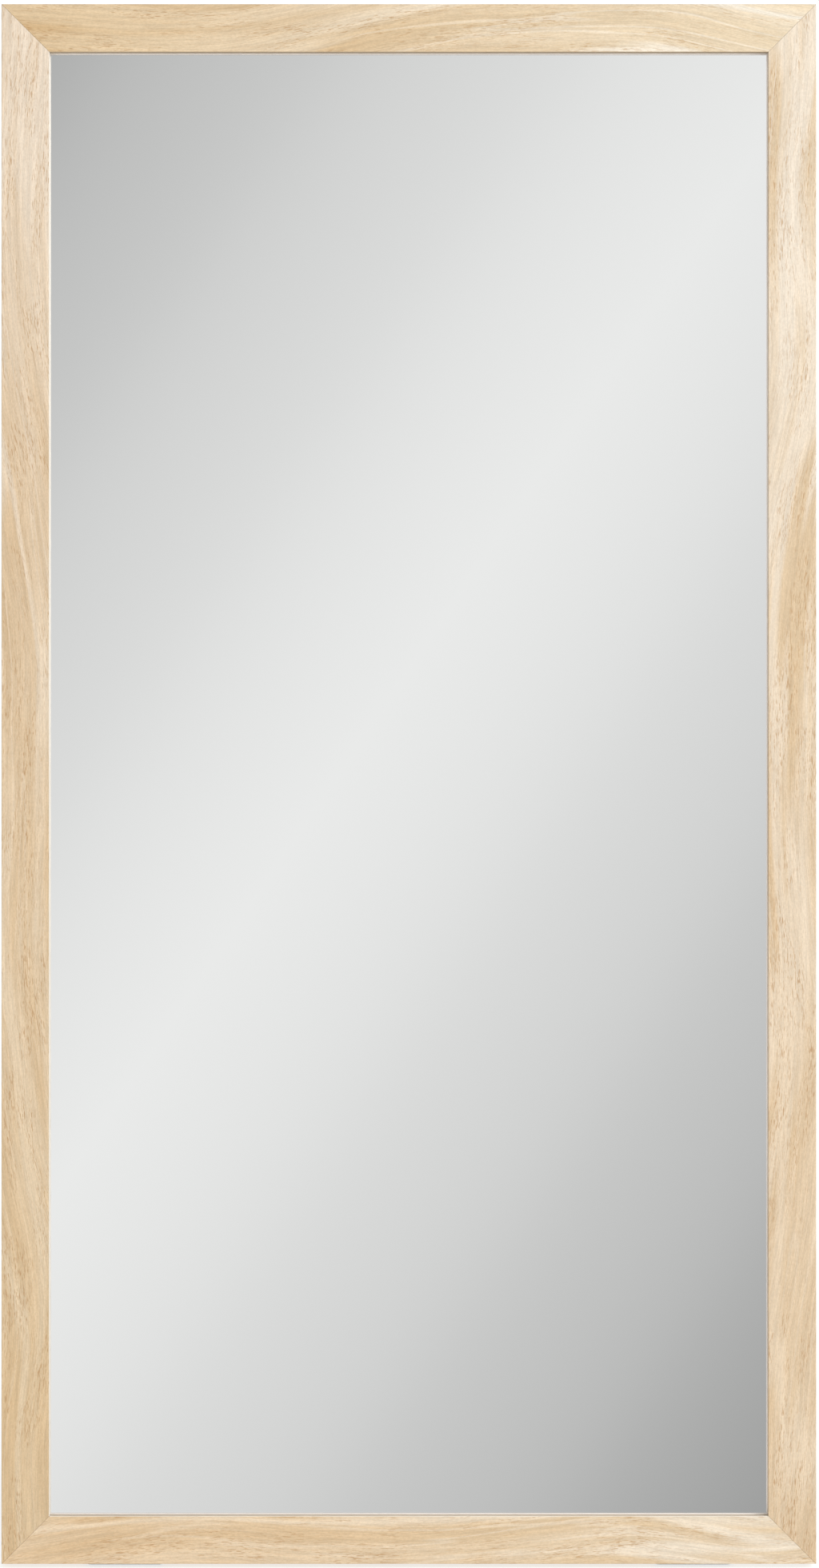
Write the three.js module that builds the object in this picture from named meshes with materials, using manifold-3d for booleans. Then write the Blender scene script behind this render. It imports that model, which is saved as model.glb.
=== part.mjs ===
// A full-length floor mirror in a flat mitred timber frame, standing on a folding timber easel.
//
// Millimetres, +Z up. The glass faces -Y, and "left" and "right" are as the person looking into
// the glass sees them. The origin is on the floor, under the middle of the whole object, with the
// easel open and the frame leaning back on it.
//
// The frame is modelled upright in a group of its own, X to the right, Y towards its back and Z
// up, with zero at the middle of the bottom edge of its front face. That group is then leaned
// back. The easel and the hanging rings are groups inside it, each at its own pivot.

import * as THREE from "three";
import { mergeVertices } from "three/addons/utils/BufferGeometryUtils.js";
import Module from "manifold-3d";

const wasm = await Module();
wasm.setup();

// ---- Driving dimensions -------------------------------------------------------------------

const GAP = 0.3; // air left between pieces that touch
const SIDES = [["left", -1], ["right", 1]];
const ENDS = [["bottom", 0], ["top", 1]];

// Frame moulding
const FRAME_WIDTH = 862;
const FRAME_HEIGHT = 1651;
const FACE_WIDTH = 50.8;
const FRAME_DEPTH = 24;
const LIP_THICKNESS = 9; // the timber in front of the glass
const REBATE_WIDTH = 8;
const ARRIS = 0.6; // chamfer along the front edges

// Sheets in the rebate, from the front
const GLASS_THICKNESS = 4;
const CARD_THICKNESS = 3;
const BOARD_THICKNESS = 3;
const SHEET_CLEARANCE = 1;

// Stance
const LEAN = THREE.MathUtils.degToRad(9);
const PAD = { width: 80, depth: 16, thickness: 1.2, inFromSide: 130, backEdge: 22 };

// Flat steel corner plates, and the countersunk screws used everywhere
const PLATE_THICKNESS = 2;
const CORNER_PLATE = { armWidth: 20, armLength: 90, nearScrew: 52, farScrew: 88 };
const SCREW = { length: 14, shankRadius: 1.7, headRadius: 3.6, headDepth: 1.8, rim: 0.2, sides: 12 };

// Easel legs, rails between them, and rubber feet
const LEG = { width: 34, depth: 20, aboveAxle: 18, cornerRadius: 6 };
const LEG_CLEARANCE = 2; // between a folded leg and the plates behind it
const AXLE_Z = 1120; // height of the easel's axle up the frame
const FOLDED_GAP = 8; // the folded feet stop this far above the bottom edge
const FOOT = { thickness: 6, stemRadius: 4, stemLength: 14 };
const CROSSBAR = { height: 45, depth: 14, tenonLength: 20, tenonHeight: 30, tenonDepth: 8 };
const CROSSBARS = [["lower_crossbar", 150], ["upper_crossbar", 640]]; // heights above the feet

// Axle brackets, bolts and nuts
const BRACKET = { height: 76, earHalfHeight: 18, earThickness: 2, earRadius: 12, sideGap: 0.8 };
const BRACKET_SCREW = { aside: 10, fromAxle: 28 };
const BOLT = { radius: 3, headRadius: 6.5, headHeight: 3.6, sides: 16 };
const NUT = { acrossFlats: 10, thickness: 5 };

// Strap hangers with D-shaped rings
const HANGER_Z = 1330;
const HANGER = { length: 50, width: 16, thickness: 1.5, loopInnerRadius: 2.1, loopEnd: -60 };
const HANGER_SCREWS = [22, 41]; // below the ring's bar
const RING = { halfWidth: 12, wire: 3, straight: 4, edge: 0.6 };

// ---- Sizes that follow --------------------------------------------------------------------

const stileCentre = FRAME_WIDTH / 2 - FACE_WIDTH / 2;
const sheetWidth = FRAME_WIDTH - 2 * (FACE_WIDTH - REBATE_WIDTH + SHEET_CLEARANCE);
const sheetHeight = FRAME_HEIGHT - 2 * (FACE_WIDTH - REBATE_WIDTH + SHEET_CLEARANCE);
const plateFace = FRAME_DEPTH + GAP + PLATE_THICKNESS;
const axleY = plateFace + LEG_CLEARANCE + LEG.depth / 2;
const earGap = LEG.width + 2 * BRACKET.sideGap;
const earFace = earGap / 2 + BRACKET.earThickness;

// The leaning frame touches the floor with the back edge of its pads.
const padSole = GAP + PAD.thickness;
const frameLift = padSole * Math.cos(LEAN) + PAD.backEdge * Math.sin(LEAN);

// The legs reach from the axle to the floor, which sets how far they swing out.
const axleHeight = AXLE_Z * Math.cos(LEAN) - axleY * Math.sin(LEAN) + frameLift;
const legReach = AXLE_Z - FOLDED_GAP;
const legLean = Math.acos(axleHeight / legReach);
const easelOpening = LEAN + legLean;

// ---- Materials ----------------------------------------------------------------------------

const paint = (color, roughness, metalness) =>
  new THREE.MeshStandardMaterial({ color, roughness, metalness });

const timber = () => paint(0xe4cfae, 0.55, 0);
const easelTimber = () => paint(0xdcc39b, 0.6, 0);
const silveredGlass = () => paint(0xdfe1e0, 0.05, 1);
const corrugatedCard = () => paint(0xb98f5f, 0.9, 0);
const hardboard = () => paint(0x6f4d33, 0.7, 0);
const zincPlate = () => paint(0xb9bcc0, 0.35, 1);
const blackSteel = () => paint(0x222325, 0.5, 0.6);
const clearRubber = () => paint(0xcfc9bd, 0.6, 0);
const blackRubber = () => paint(0x1d1d1e, 0.85, 0);

// ---- Solids -------------------------------------------------------------------------------

function toSolid(geometry) {
  const plain = geometry.clone();
  plain.deleteAttribute("normal");
  plain.deleteAttribute("uv");
  const merged = mergeVertices(plain, 1e-4);
  return new wasm.Manifold(
    new wasm.Mesh({
      numProp: 3,
      vertProperties: merged.attributes.position.array,
      triVerts: new Uint32Array(merged.index.array),
    }),
  );
}

function toGeometry(solid) {
  const mesh = solid.getMesh();
  const geometry = new THREE.BufferGeometry();
  geometry.setAttribute("position", new THREE.BufferAttribute(mesh.vertProperties, 3));
  geometry.setIndex(new THREE.BufferAttribute(mesh.triVerts, 1));
  const faceted = geometry.toNonIndexed();
  faceted.computeVertexNormals();
  return faceted;
}

function join(...geometries) {
  return toGeometry(geometries.map(toSolid).reduce((all, next) => all.add(next)));
}

function common(a, b) {
  return toGeometry(toSolid(a).intersect(toSolid(b)));
}

function cut(geometry, tools) {
  return toGeometry(tools.map(toSolid).reduce((left, tool) => left.subtract(tool), toSolid(geometry)));
}

// Cuts tools, given in the frame of the mesh's parent, out of a mesh that is already placed.
function drill(mesh, tools) {
  mesh.updateMatrix();
  const toMesh = mesh.matrix.clone().invert();
  mesh.geometry = cut(mesh.geometry, tools.map((tool) => tool.clone().applyMatrix4(toMesh)));
}

const outline = (points) => new THREE.Shape(points.map(([a, b]) => new THREE.Vector2(a, b)));

const extrude = (shape, depth, options = { bevelEnabled: false }) =>
  new THREE.ExtrudeGeometry(shape, { depth, curveSegments: 8, ...options });

// A shape drawn in X and Z, given its thickness from Y = 0 towards the back.
function sheetOf(shape, thickness) {
  return extrude(shape, thickness).rotateX(Math.PI / 2).translate(0, thickness, 0);
}

// A shape drawn in Y and Z, given its width across X, half to each side.
function slabOf(shape, width) {
  const turn = new THREE.Matrix4().makeBasis(
    new THREE.Vector3(0, 1, 0),
    new THREE.Vector3(0, 0, 1),
    new THREE.Vector3(1, 0, 0),
  );
  return extrude(shape, width).translate(0, 0, -width / 2).applyMatrix4(turn);
}

// A cylinder along X.
function rodOf(radius, length, sides = BOLT.sides) {
  return new THREE.CylinderGeometry(radius, radius, length, sides).rotateZ(Math.PI / 2);
}

const latheOf = (profile, sides) =>
  new THREE.LatheGeometry(profile.map(([r, y]) => new THREE.Vector2(r, y)), sides);

function piece(parent, name, geometry, material, x = 0, y = 0, z = 0) {
  const mesh = new THREE.Mesh(geometry, material);
  mesh.name = name;
  mesh.position.set(x, y, z);
  parent.add(mesh);
  return mesh;
}

// ---- Screws: heads flush with Y = 0, pointing to -Y ----------------------------------------

function screwSolid() {
  const { length, shankRadius, headRadius, headDepth, rim, sides } = SCREW;
  const pointLength = 2 * shankRadius;
  return latheOf([
    [0, -length],
    [shankRadius, pointLength - length],
    [shankRadius, -headDepth],
    [headRadius, -rim],
    [headRadius, 0],
    [0, 0],
  ], sides);
}

// The hole that a screw sits in, open at the top.
function screwHole() {
  const { length, shankRadius, headRadius, headDepth, rim, sides } = SCREW;
  const bottom = -length - GAP;
  const shank = shankRadius + GAP;
  const head = headRadius + GAP;
  return latheOf([
    [0, bottom],
    [shank, bottom],
    [shank, -headDepth - GAP],
    [head, -rim - GAP],
    [head, 1],
    [0, 1],
  ], sides);
}

// Adds one named screw at each place, and drills its hole through the pieces that it holds.
function screwDown(parent, name, places, held) {
  const holes = places.map(([x, y, z]) => screwHole().translate(x, y, z));
  places.forEach(([x, y, z], i) => piece(parent, `${name}_${i + 1}`, screwSolid(), zincPlate(), x, y, z));
  held.forEach((mesh) => drill(mesh, holes));
}

// ---- Frame --------------------------------------------------------------------------------

// One rail: outer edge on X = 0, sight edge towards +X, front face on Y = 0, length along Z.
function rail(length) {
  const section = outline([
    [ARRIS, 0],
    [FACE_WIDTH - ARRIS, 0],
    [FACE_WIDTH, ARRIS],
    [FACE_WIDTH, LIP_THICKNESS],
    [FACE_WIDTH - REBATE_WIDTH, LIP_THICKNESS],
    [FACE_WIDTH - REBATE_WIDTH, FRAME_DEPTH],
    [0, FRAME_DEPTH],
    [0, ARRIS],
  ]);
  const over = 1;
  const setBack = GAP * Math.SQRT1_2;
  const outerEnd = length / 2 + over - setBack;
  const innerEnd = length / 2 - FACE_WIDTH - over - setBack;
  const mitred = outline([
    [-over, -outerEnd],
    [FACE_WIDTH + over, -innerEnd],
    [FACE_WIDTH + over, innerEnd],
    [-over, outerEnd],
  ]);
  return common(
    extrude(section, length).translate(0, 0, -length / 2),
    sheetOf(mitred, FRAME_DEPTH + 2 * over).translate(0, -over, 0),
  );
}

function addRails(frame) {
  const middle = FRAME_HEIGHT / 2;
  const half = FRAME_WIDTH / 2;
  const rails = {
    left: piece(frame, "left_stile", rail(FRAME_HEIGHT), timber(), -half, 0, middle),
    right: piece(frame, "right_stile", rail(FRAME_HEIGHT), timber(), half, 0, middle),
    bottom: piece(frame, "bottom_rail", rail(FRAME_WIDTH), timber(), 0, 0, 0),
    top: piece(frame, "top_rail", rail(FRAME_WIDTH), timber(), 0, 0, FRAME_HEIGHT),
  };
  rails.right.rotation.y = Math.PI;
  rails.bottom.rotation.y = -Math.PI / 2;
  rails.top.rotation.y = Math.PI / 2;
  return rails;
}

function addSheets(frame) {
  const stack = [
    ["mirror_glass", GLASS_THICKNESS, silveredGlass()],
    ["card_sheet", CARD_THICKNESS, corrugatedCard()],
    ["backing_board", BOARD_THICKNESS, hardboard()],
  ];
  let front = LIP_THICKNESS + GAP;
  for (const [name, thickness, material] of stack) {
    const sheet = new THREE.BoxGeometry(sheetWidth, thickness, sheetHeight);
    piece(frame, name, sheet, material, 0, front + thickness / 2, FRAME_HEIGHT / 2);
    front += thickness + GAP;
  }
}

// An L of flat steel, its arms along +X and +Z, drawn from the frame's outer corner.
function cornerPlate() {
  const near = (FACE_WIDTH - CORNER_PLATE.armWidth) / 2;
  const elbow = near + CORNER_PLATE.armWidth;
  const far = near + CORNER_PLATE.armLength;
  const nip = 3; // cut off each corner
  return sheetOf(outline([
    [near + nip, near],
    [far - nip, near],
    [far, near + nip],
    [far, elbow - nip],
    [far - nip, elbow],
    [elbow, elbow],
    [elbow, far - nip],
    [elbow - nip, far],
    [near + nip, far],
    [near, far - nip],
    [near, near + nip],
  ]), PLATE_THICKNESS);
}

function addCornerPlates(frame, rails) {
  const { nearScrew, farScrew } = CORNER_PLATE;
  for (const [end, up] of ENDS) {
    for (const [side, across] of SIDES) {
      const cornerX = (across * FRAME_WIDTH) / 2;
      const cornerZ = up * FRAME_HEIGHT;
      const inX = -across;
      const inZ = 1 - 2 * up;
      const plate = piece(
        frame, `corner_plate_${end}_${side}`, cornerPlate(), zincPlate(), cornerX, FRAME_DEPTH + GAP, cornerZ,
      );
      plate.rotation.y = Math.atan2(-inZ, inX) + Math.PI / 4;
      const alongRail = [nearScrew, farScrew].map((d) => [d, FACE_WIDTH / 2]);
      const alongStile = [nearScrew, farScrew].map((d) => [FACE_WIDTH / 2, d]);
      const places = [...alongRail, ...alongStile].map(([dx, dz]) => [
        cornerX + inX * dx, plateFace, cornerZ + inZ * dz,
      ]);
      screwDown(frame, `corner_screw_${end}_${side}`, places, [plate, rails[end], rails[side]]);
    }
  }
}

function addFloorPads(frame) {
  for (const [side, across] of SIDES) {
    const pad = new THREE.BoxGeometry(PAD.width, PAD.depth, PAD.thickness);
    const x = across * (FRAME_WIDTH / 2 - PAD.inFromSide);
    piece(frame, `floor_pad_${side}`, pad, clearRubber(), x, PAD.backEdge - PAD.depth / 2, PAD.thickness / 2 - padSole);
  }
}

// ---- Axle brackets ------------------------------------------------------------------------

// A steel channel: a base strip on Y = 0 and two ears, with the axle's height at Z = 0.
function bracketSolid() {
  const axle = axleY - FRAME_DEPTH - GAP;
  const { height, earHalfHeight, earThickness, earRadius } = BRACKET;
  const base = new THREE.BoxGeometry(2 * earFace, PLATE_THICKNESS, height).translate(0, PLATE_THICKNESS / 2, 0);
  const ear = new THREE.Shape();
  ear.moveTo(PLATE_THICKNESS / 2, -earHalfHeight);
  ear.lineTo(axle - earRadius / 2, -earRadius);
  ear.absarc(axle, 0, earRadius, -Math.PI / 2, Math.PI / 2, false);
  ear.lineTo(axle - earRadius / 2, earRadius);
  ear.lineTo(PLATE_THICKNESS / 2, earHalfHeight);
  const earCentre = earGap / 2 + earThickness / 2;
  const ears = [-1, 1].map((s) => slabOf(ear, earThickness).translate(s * earCentre, 0, 0));
  const axleHole = rodOf(BOLT.radius + GAP, 4 * earFace).translate(0, axle, 0);
  return cut(join(base, ...ears), [axleHole]);
}

// Head towards +X, with the underside of the head and the end of the thread set by the ears.
function boltSolid() {
  const { radius, headRadius, headHeight, sides } = BOLT;
  const head = earFace + GAP;
  const end = -(earFace + GAP + NUT.thickness + 2);
  return latheOf([
    [0, end],
    [radius - 0.5, end],
    [radius, end + 0.5],
    [radius, head],
    [headRadius, head],
    [headRadius, head + headHeight * 0.4],
    [headRadius * 0.6, head + headHeight],
    [0, head + headHeight],
  ], sides).rotateZ(-Math.PI / 2);
}

function nutSolid() {
  const corner = NUT.acrossFlats / 2 / Math.cos(Math.PI / 6);
  const blank = new THREE.CylinderGeometry(corner, corner, NUT.thickness, 6).rotateZ(Math.PI / 2);
  return cut(blank, [rodOf(BOLT.radius + GAP, 2 * NUT.thickness)]);
}

function addBrackets(frame, rails) {
  for (const [side, across] of SIDES) {
    const x = across * stileCentre;
    const bracket = piece(
      frame, `axle_bracket_${side}`, bracketSolid(), blackSteel(), x, FRAME_DEPTH + GAP, AXLE_Z,
    );
    const { aside, fromAxle } = BRACKET_SCREW;
    const places = [[-1, -1], [1, -1], [-1, 1], [1, 1]].map(([i, k]) => [
      x + i * aside, plateFace, AXLE_Z + k * fromAxle,
    ]);
    screwDown(frame, `bracket_screw_${side}`, places, [bracket, rails[side]]);
    const bolt = piece(frame, `axle_bolt_${side}`, boltSolid(), zincPlate(), x, axleY, AXLE_Z);
    bolt.rotation.z = across > 0 ? 0 : Math.PI;
    const nutX = x - across * (earFace + GAP + NUT.thickness / 2);
    piece(frame, `axle_nut_${side}`, nutSolid(), zincPlate(), nutX, axleY, AXLE_Z);
  }
}

// ---- Hangers ------------------------------------------------------------------------------

const hangerBarY = HANGER.thickness + HANGER.loopInnerRadius;

// A strap on Y = 0 whose top end curls round the ring's bar, which is at Z = 0.
function strapSolid() {
  const { length, width, thickness, loopInnerRadius, loopEnd } = HANGER;
  const end = THREE.MathUtils.degToRad(loopEnd);
  const profile = new THREE.Shape();
  profile.moveTo(0, -length);
  profile.lineTo(0, 0);
  profile.absarc(hangerBarY, 0, hangerBarY, Math.PI, end, true);
  profile.absarc(hangerBarY, 0, loopInnerRadius, end, Math.PI, false);
  profile.lineTo(thickness, -length);
  return slabOf(profile, width);
}

// A D of wire in X and Z, its straight bar on the origin and its bow below it.
function ringSolid() {
  const { halfWidth, wire, straight, edge } = RING;
  const bow = (shape, inset) => {
    const r = halfWidth - inset;
    shape.moveTo(-r, wire / 2 - inset);
    shape.lineTo(-r, -straight);
    shape.absarc(0, -straight, r, Math.PI, 2 * Math.PI, false);
    shape.lineTo(r, wire / 2 - inset);
    shape.closePath();
    return shape;
  };
  const ring = bow(new THREE.Shape(), 0);
  ring.holes.push(bow(new THREE.Path(), wire));
  const rounded = {
    bevelEnabled: true, bevelThickness: edge, bevelSize: edge, bevelOffset: -edge, bevelSegments: 1,
  };
  const flat = wire - 2 * edge;
  return extrude(ring, flat, rounded).translate(0, 0, -flat / 2).rotateX(Math.PI / 2);
}

function addHangers(frame, rails) {
  for (const [side, across] of SIDES) {
    const x = across * stileCentre;
    const strap = piece(
      frame, `hanger_strap_${side}`, strapSolid(), zincPlate(), x, FRAME_DEPTH + GAP, HANGER_Z,
    );
    const screwFace = FRAME_DEPTH + GAP + HANGER.thickness;
    const places = HANGER_SCREWS.map((below) => [x, screwFace, HANGER_Z - below]);
    screwDown(frame, `hanger_screw_${side}`, places, [strap, rails[side]]);
    const swing = new THREE.Group();
    swing.position.set(x, FRAME_DEPTH + GAP + hangerBarY, HANGER_Z);
    swing.rotation.x = LEAN; // the ring hangs plumb while the frame leans
    frame.add(swing);
    piece(swing, `hanger_ring_${side}`, ringSolid(), zincPlate());
  }
}

// ---- Easel: axle on the origin, legs down -Z, back of the legs towards +Y -------------------

// The height, on the easel's own Z, of a level line this far above the floor.
const levelAt = (y, aboveFloor) => -legReach + aboveFloor / Math.cos(legLean) - y * Math.tan(legLean);

// The leg's top end is planed off so that it lies flat on the bracket when the easel is open.
function legSolid() {
  const { width, depth, aboveAxle, cornerRadius } = LEG;
  const half = depth / 2;
  const stop = LEG_CLEARANCE + half - GAP;
  const slope = Math.tan(easelOpening);
  const bevelStart = (stop / Math.cos(easelOpening) - half) / slope;
  const bevelEnd = aboveAxle * slope - stop / Math.cos(easelOpening);
  const foot = FOOT.thickness + GAP;
  const side = new THREE.Shape();
  side.moveTo(-half, levelAt(-half, foot));
  side.lineTo(half, levelAt(half, foot));
  side.lineTo(half, aboveAxle - cornerRadius);
  side.absarc(half - cornerRadius, aboveAxle - cornerRadius, cornerRadius, 0, Math.PI / 2, false);
  side.lineTo(bevelEnd, aboveAxle);
  side.lineTo(-half, bevelStart);
  return slabOf(side, width);
}

// A rubber sole, level with the floor when the easel is open, and a stem up into the leg.
function footSolid() {
  const half = LEG.depth / 2;
  const sole = slabOf(outline([
    [-half, levelAt(-half, 0)],
    [half, levelAt(half, 0)],
    [half, levelAt(half, FOOT.thickness)],
    [-half, levelAt(-half, FOOT.thickness)],
  ]), LEG.width);
  return join(sole, footStem(FOOT.stemRadius, 0));
}

function footStem(radius, over) {
  const length = FOOT.stemLength + FOOT.thickness / 2 + over;
  const middle = levelAt(0, FOOT.thickness / 2) + length / 2;
  return new THREE.CylinderGeometry(radius, radius, length, 12).rotateX(Math.PI / 2).translate(0, 0, middle);
}

function crossbarSolid() {
  const { height, depth, tenonLength, tenonHeight, tenonDepth } = CROSSBAR;
  const between = 2 * stileCentre - LEG.width - 2 * GAP;
  const bar = new THREE.BoxGeometry(between, depth, height);
  const tenons = new THREE.BoxGeometry(between + 2 * tenonLength, tenonDepth, tenonHeight);
  return join(bar, tenons);
}

function mortise(across, z) {
  const { tenonLength, tenonHeight, tenonDepth } = CROSSBAR;
  const deep = tenonLength + 1;
  const mouth = stileCentre - LEG.width / 2 - 1;
  return new THREE.BoxGeometry(deep + 1, tenonDepth + 2 * GAP, tenonHeight + 2 * GAP)
    .translate(across * (mouth + (deep + 1) / 2), 0, z);
}

function addEasel(frame) {
  const easel = new THREE.Group();
  easel.position.set(0, axleY, AXLE_Z);
  easel.rotation.x = easelOpening;
  frame.add(easel);
  const barHeights = CROSSBARS.map(([, aboveFeet]) => aboveFeet - legReach);
  CROSSBARS.forEach(([name], i) => piece(easel, name, crossbarSolid(), easelTimber(), 0, 0, barHeights[i]));
  for (const [side, across] of SIDES) {
    const x = across * stileCentre;
    const leg = piece(easel, `easel_leg_${side}`, legSolid(), easelTimber(), x);
    const axleHole = rodOf(BOLT.radius + GAP, 2 * LEG.width).translate(x, 0, 0);
    const stemHole = footStem(FOOT.stemRadius + GAP, GAP).translate(x, 0, 0);
    drill(leg, [axleHole, stemHole, ...barHeights.map((z) => mortise(across, z))]);
    piece(easel, `leg_foot_${side}`, footSolid(), blackRubber(), x);
  }
}

// ---- Assembly -----------------------------------------------------------------------------

const mirror = new THREE.Group();
mirror.name = "floor_mirror";

const frame = new THREE.Group();
mirror.add(frame);
const rails = addRails(frame);
addSheets(frame);
addCornerPlates(frame, rails);
addFloorPads(frame);
addBrackets(frame, rails);
addHangers(frame, rails);
addEasel(frame);

// Lean the frame back on its pads, then centre the whole object over the origin, front to back.
frame.rotation.x = -LEAN;
frame.position.z = frameLift;
const bounds = new THREE.Box3().setFromObject(mirror, true);
frame.position.y = -(bounds.min.y + bounds.max.y) / 2;

export default mirror;
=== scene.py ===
"""Looks for a leaning floor mirror: a mitred timber frame with an easel back.

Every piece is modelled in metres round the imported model, in one of two sets of axes: the frame's
own (X right, Y from the face to the back, Z up the frame) and the easel's own (Z up the legs).
Both are the world's axes turned about X.
"""

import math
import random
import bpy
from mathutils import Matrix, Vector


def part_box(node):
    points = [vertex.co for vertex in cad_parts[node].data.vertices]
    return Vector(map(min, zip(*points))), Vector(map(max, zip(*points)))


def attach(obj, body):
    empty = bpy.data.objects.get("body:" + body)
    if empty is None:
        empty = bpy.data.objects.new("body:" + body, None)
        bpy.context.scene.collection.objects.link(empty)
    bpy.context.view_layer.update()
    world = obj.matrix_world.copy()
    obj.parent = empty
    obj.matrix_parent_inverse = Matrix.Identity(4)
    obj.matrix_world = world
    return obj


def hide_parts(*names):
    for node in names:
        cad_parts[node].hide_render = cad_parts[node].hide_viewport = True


bl_info = {
    "name": "Floor mirror",
    "version": (1, 0, 0),
    "blender": (4, 5, 0),
    "location": "View3D > Sidebar > Mirror",
    "description": "Builds the timber, glass and hardware of a floor mirror round its packed model",
    "category": "Object",
}

import bmesh
import bpy
from bpy.props import FloatProperty, FloatVectorProperty, IntProperty, PointerProperty
from mathutils import Matrix, Vector

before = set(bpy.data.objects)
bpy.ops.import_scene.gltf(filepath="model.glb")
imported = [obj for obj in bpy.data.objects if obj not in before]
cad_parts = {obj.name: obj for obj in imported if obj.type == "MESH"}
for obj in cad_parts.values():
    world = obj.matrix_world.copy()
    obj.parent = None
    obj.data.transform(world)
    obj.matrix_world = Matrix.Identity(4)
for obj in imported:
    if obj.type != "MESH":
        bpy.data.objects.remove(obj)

MM = 0.001
SIDES = ("left", "right")
ENDS = ("bottom", "top")
FRAME_BODY = "framed_mirror"
EASEL_BODY = "easel"


# ---- Where things are ---------------------------------------------------------------------


def middle(box):
    """The point halfway between a box's two corners."""
    return (box[0] + box[1]) / 2


def tilt_between(lower, upper):
    """How far the line from one node's middle to another's leans back from upright."""
    rise = middle(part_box(upper)) - middle(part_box(lower))
    return math.atan2(rise.y, rise.z)


FRAME_LEAN = tilt_between("corner_plate_bottom_left", "corner_plate_top_left")
EASEL_LEAN = tilt_between("lower_crossbar", "upper_crossbar")
FRAME_AXES = Matrix.Rotation(-FRAME_LEAN, 4, "X")
EASEL_AXES = Matrix.Rotation(-EASEL_LEAN, 4, "X")
WORLD_AXES = Matrix.Identity(4)


def points_in(axes, *nodes):
    """The corners of some nodes, in a piece's own axes."""
    to_own = axes.inverted()
    return [to_own @ v.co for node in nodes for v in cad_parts[node].data.vertices]


def corners(points):
    """The lowest and highest corner of some points."""
    low = Vector(min(p[i] for p in points) for i in range(3))
    high = Vector(max(p[i] for p in points) for i in range(3))
    return low, high


def box_in(axes, *nodes):
    """The lowest and highest corner of some nodes, in a piece's own axes."""
    return corners(points_in(axes, *nodes))


FRAME_LOW, FRAME_HIGH = box_in(FRAME_AXES, "left_stile", "right_stile")
FACE_Y = FRAME_LOW.y
BACK_Y = FRAME_HIGH.y
STILE_LOW, STILE_HIGH = box_in(FRAME_AXES, "left_stile")
FACE_WIDTH = STILE_HIGH.x - STILE_LOW.x
GLASS_LOW, GLASS_HIGH = box_in(FRAME_AXES, "mirror_glass")
BOARD_BACK = box_in(FRAME_AXES, "backing_board")[1].y
PLATE_FACE = box_in(FRAME_AXES, "corner_plate_top_left")[1].y

# The rebate, read from the corners of the left stile.
BEHIND_LIP = [p for p in points_in(FRAME_AXES, "left_stile") if p.y > BACK_Y - 2 * MM]
REBATE_WIDTH = STILE_HIGH.x - max(p.x for p in BEHIND_LIP)
LIP_EDGE = [p for p in points_in(FRAME_AXES, "left_stile") if p.x > STILE_HIGH.x - MM]
LIP_THICKNESS = max(p.y for p in LIP_EDGE) - FACE_Y


def side_sign(side):
    """-1 for the left and 1 for the right."""
    return -1 if side == "left" else 1


# ---- Settings -----------------------------------------------------------------------------


def linear(red, green, blue):
    """A colour from its 0-255 values, as the shaders take it."""
    shares = [value / 255 for value in (red, green, blue)]
    return tuple(s / 12.92 if s <= 0.04045 else ((s + 0.055) / 1.055) ** 2.4 for s in shares)


def length_setting(name, description, millimetres):
    return FloatProperty(
        name=name, description=description, default=millimetres * MM, min=0.0, precision=4,
        subtype="DISTANCE", unit="LENGTH",
    )


def colour_setting(name, description, red, green, blue):
    return FloatVectorProperty(
        name=name, description=description, default=linear(red, green, blue), size=3,
        min=0.0, max=1.0, subtype="COLOR",
    )


def share_setting(name, description, default):
    return FloatProperty(
        name=name, description=description, default=default, min=0.0, max=1.0, subtype="FACTOR",
    )


class MirrorTimberSettings(bpy.types.PropertyGroup):
    """Sizes and colours of the timber."""

    arris: length_setting("Arris", "Rounding along the frame's long edges", 0.6)
    mitre_break: length_setting("Mitre break", "Rounding of the edges at each mitre", 0.12)
    leg_arris: length_setting("Leg arris", "Rounding along the easel's edges", 1.2)
    pale: colour_setting("Pale wood", "Main colour of the frame's timber", 206, 188, 163)
    tan: colour_setting("Tan wood", "Darker bands in the frame's timber", 196, 172, 139)
    streak: colour_setting("Streak", "Pale streaks along the grain", 213, 199, 179)
    pore: colour_setting("Pore", "Short pore lines in the grain", 166, 128, 84)
    speck: colour_setting("Speck", "Rare dark pin specks", 93, 70, 46)
    # Painted light on the lip beside the glass: a painted highlight colour and a painted shade
    # colour.
    painted_highlight: colour_setting("Lip highlight", "Painted highlight on the lip beside the glass", 214, 208, 197)
    dust_and_shade: colour_setting("Lip shade", "Painted shade on the side of the lip", 172, 152, 126)
    gloss: share_setting("Lacquer", "How much clear satin lacquer lies over the timber", 0.12)


class MirrorGlassSettings(bpy.types.PropertyGroup):
    """Colours of the glass and of the sheets behind it."""

    silver: colour_setting("Silver", "Colour that the mirror gives back", 250, 251, 250)
    seam: colour_setting("Seam", "Painted pale line where the glass meets the lip", 250, 246, 242)
    # Painted highlight: a pale line painted on the glass where it meets the lip.
    edge: colour_setting("Edge", "Tint of the glass at its cut edges", 120, 168, 150)
    paint: colour_setting("Back paint", "Protective paint behind the silver", 126, 128, 127)
    board: colour_setting("Backing board", "Smooth face of the hardboard", 116, 80, 52)
    card: colour_setting("Card", "Corrugated card between glass and board", 190, 152, 106)


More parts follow.
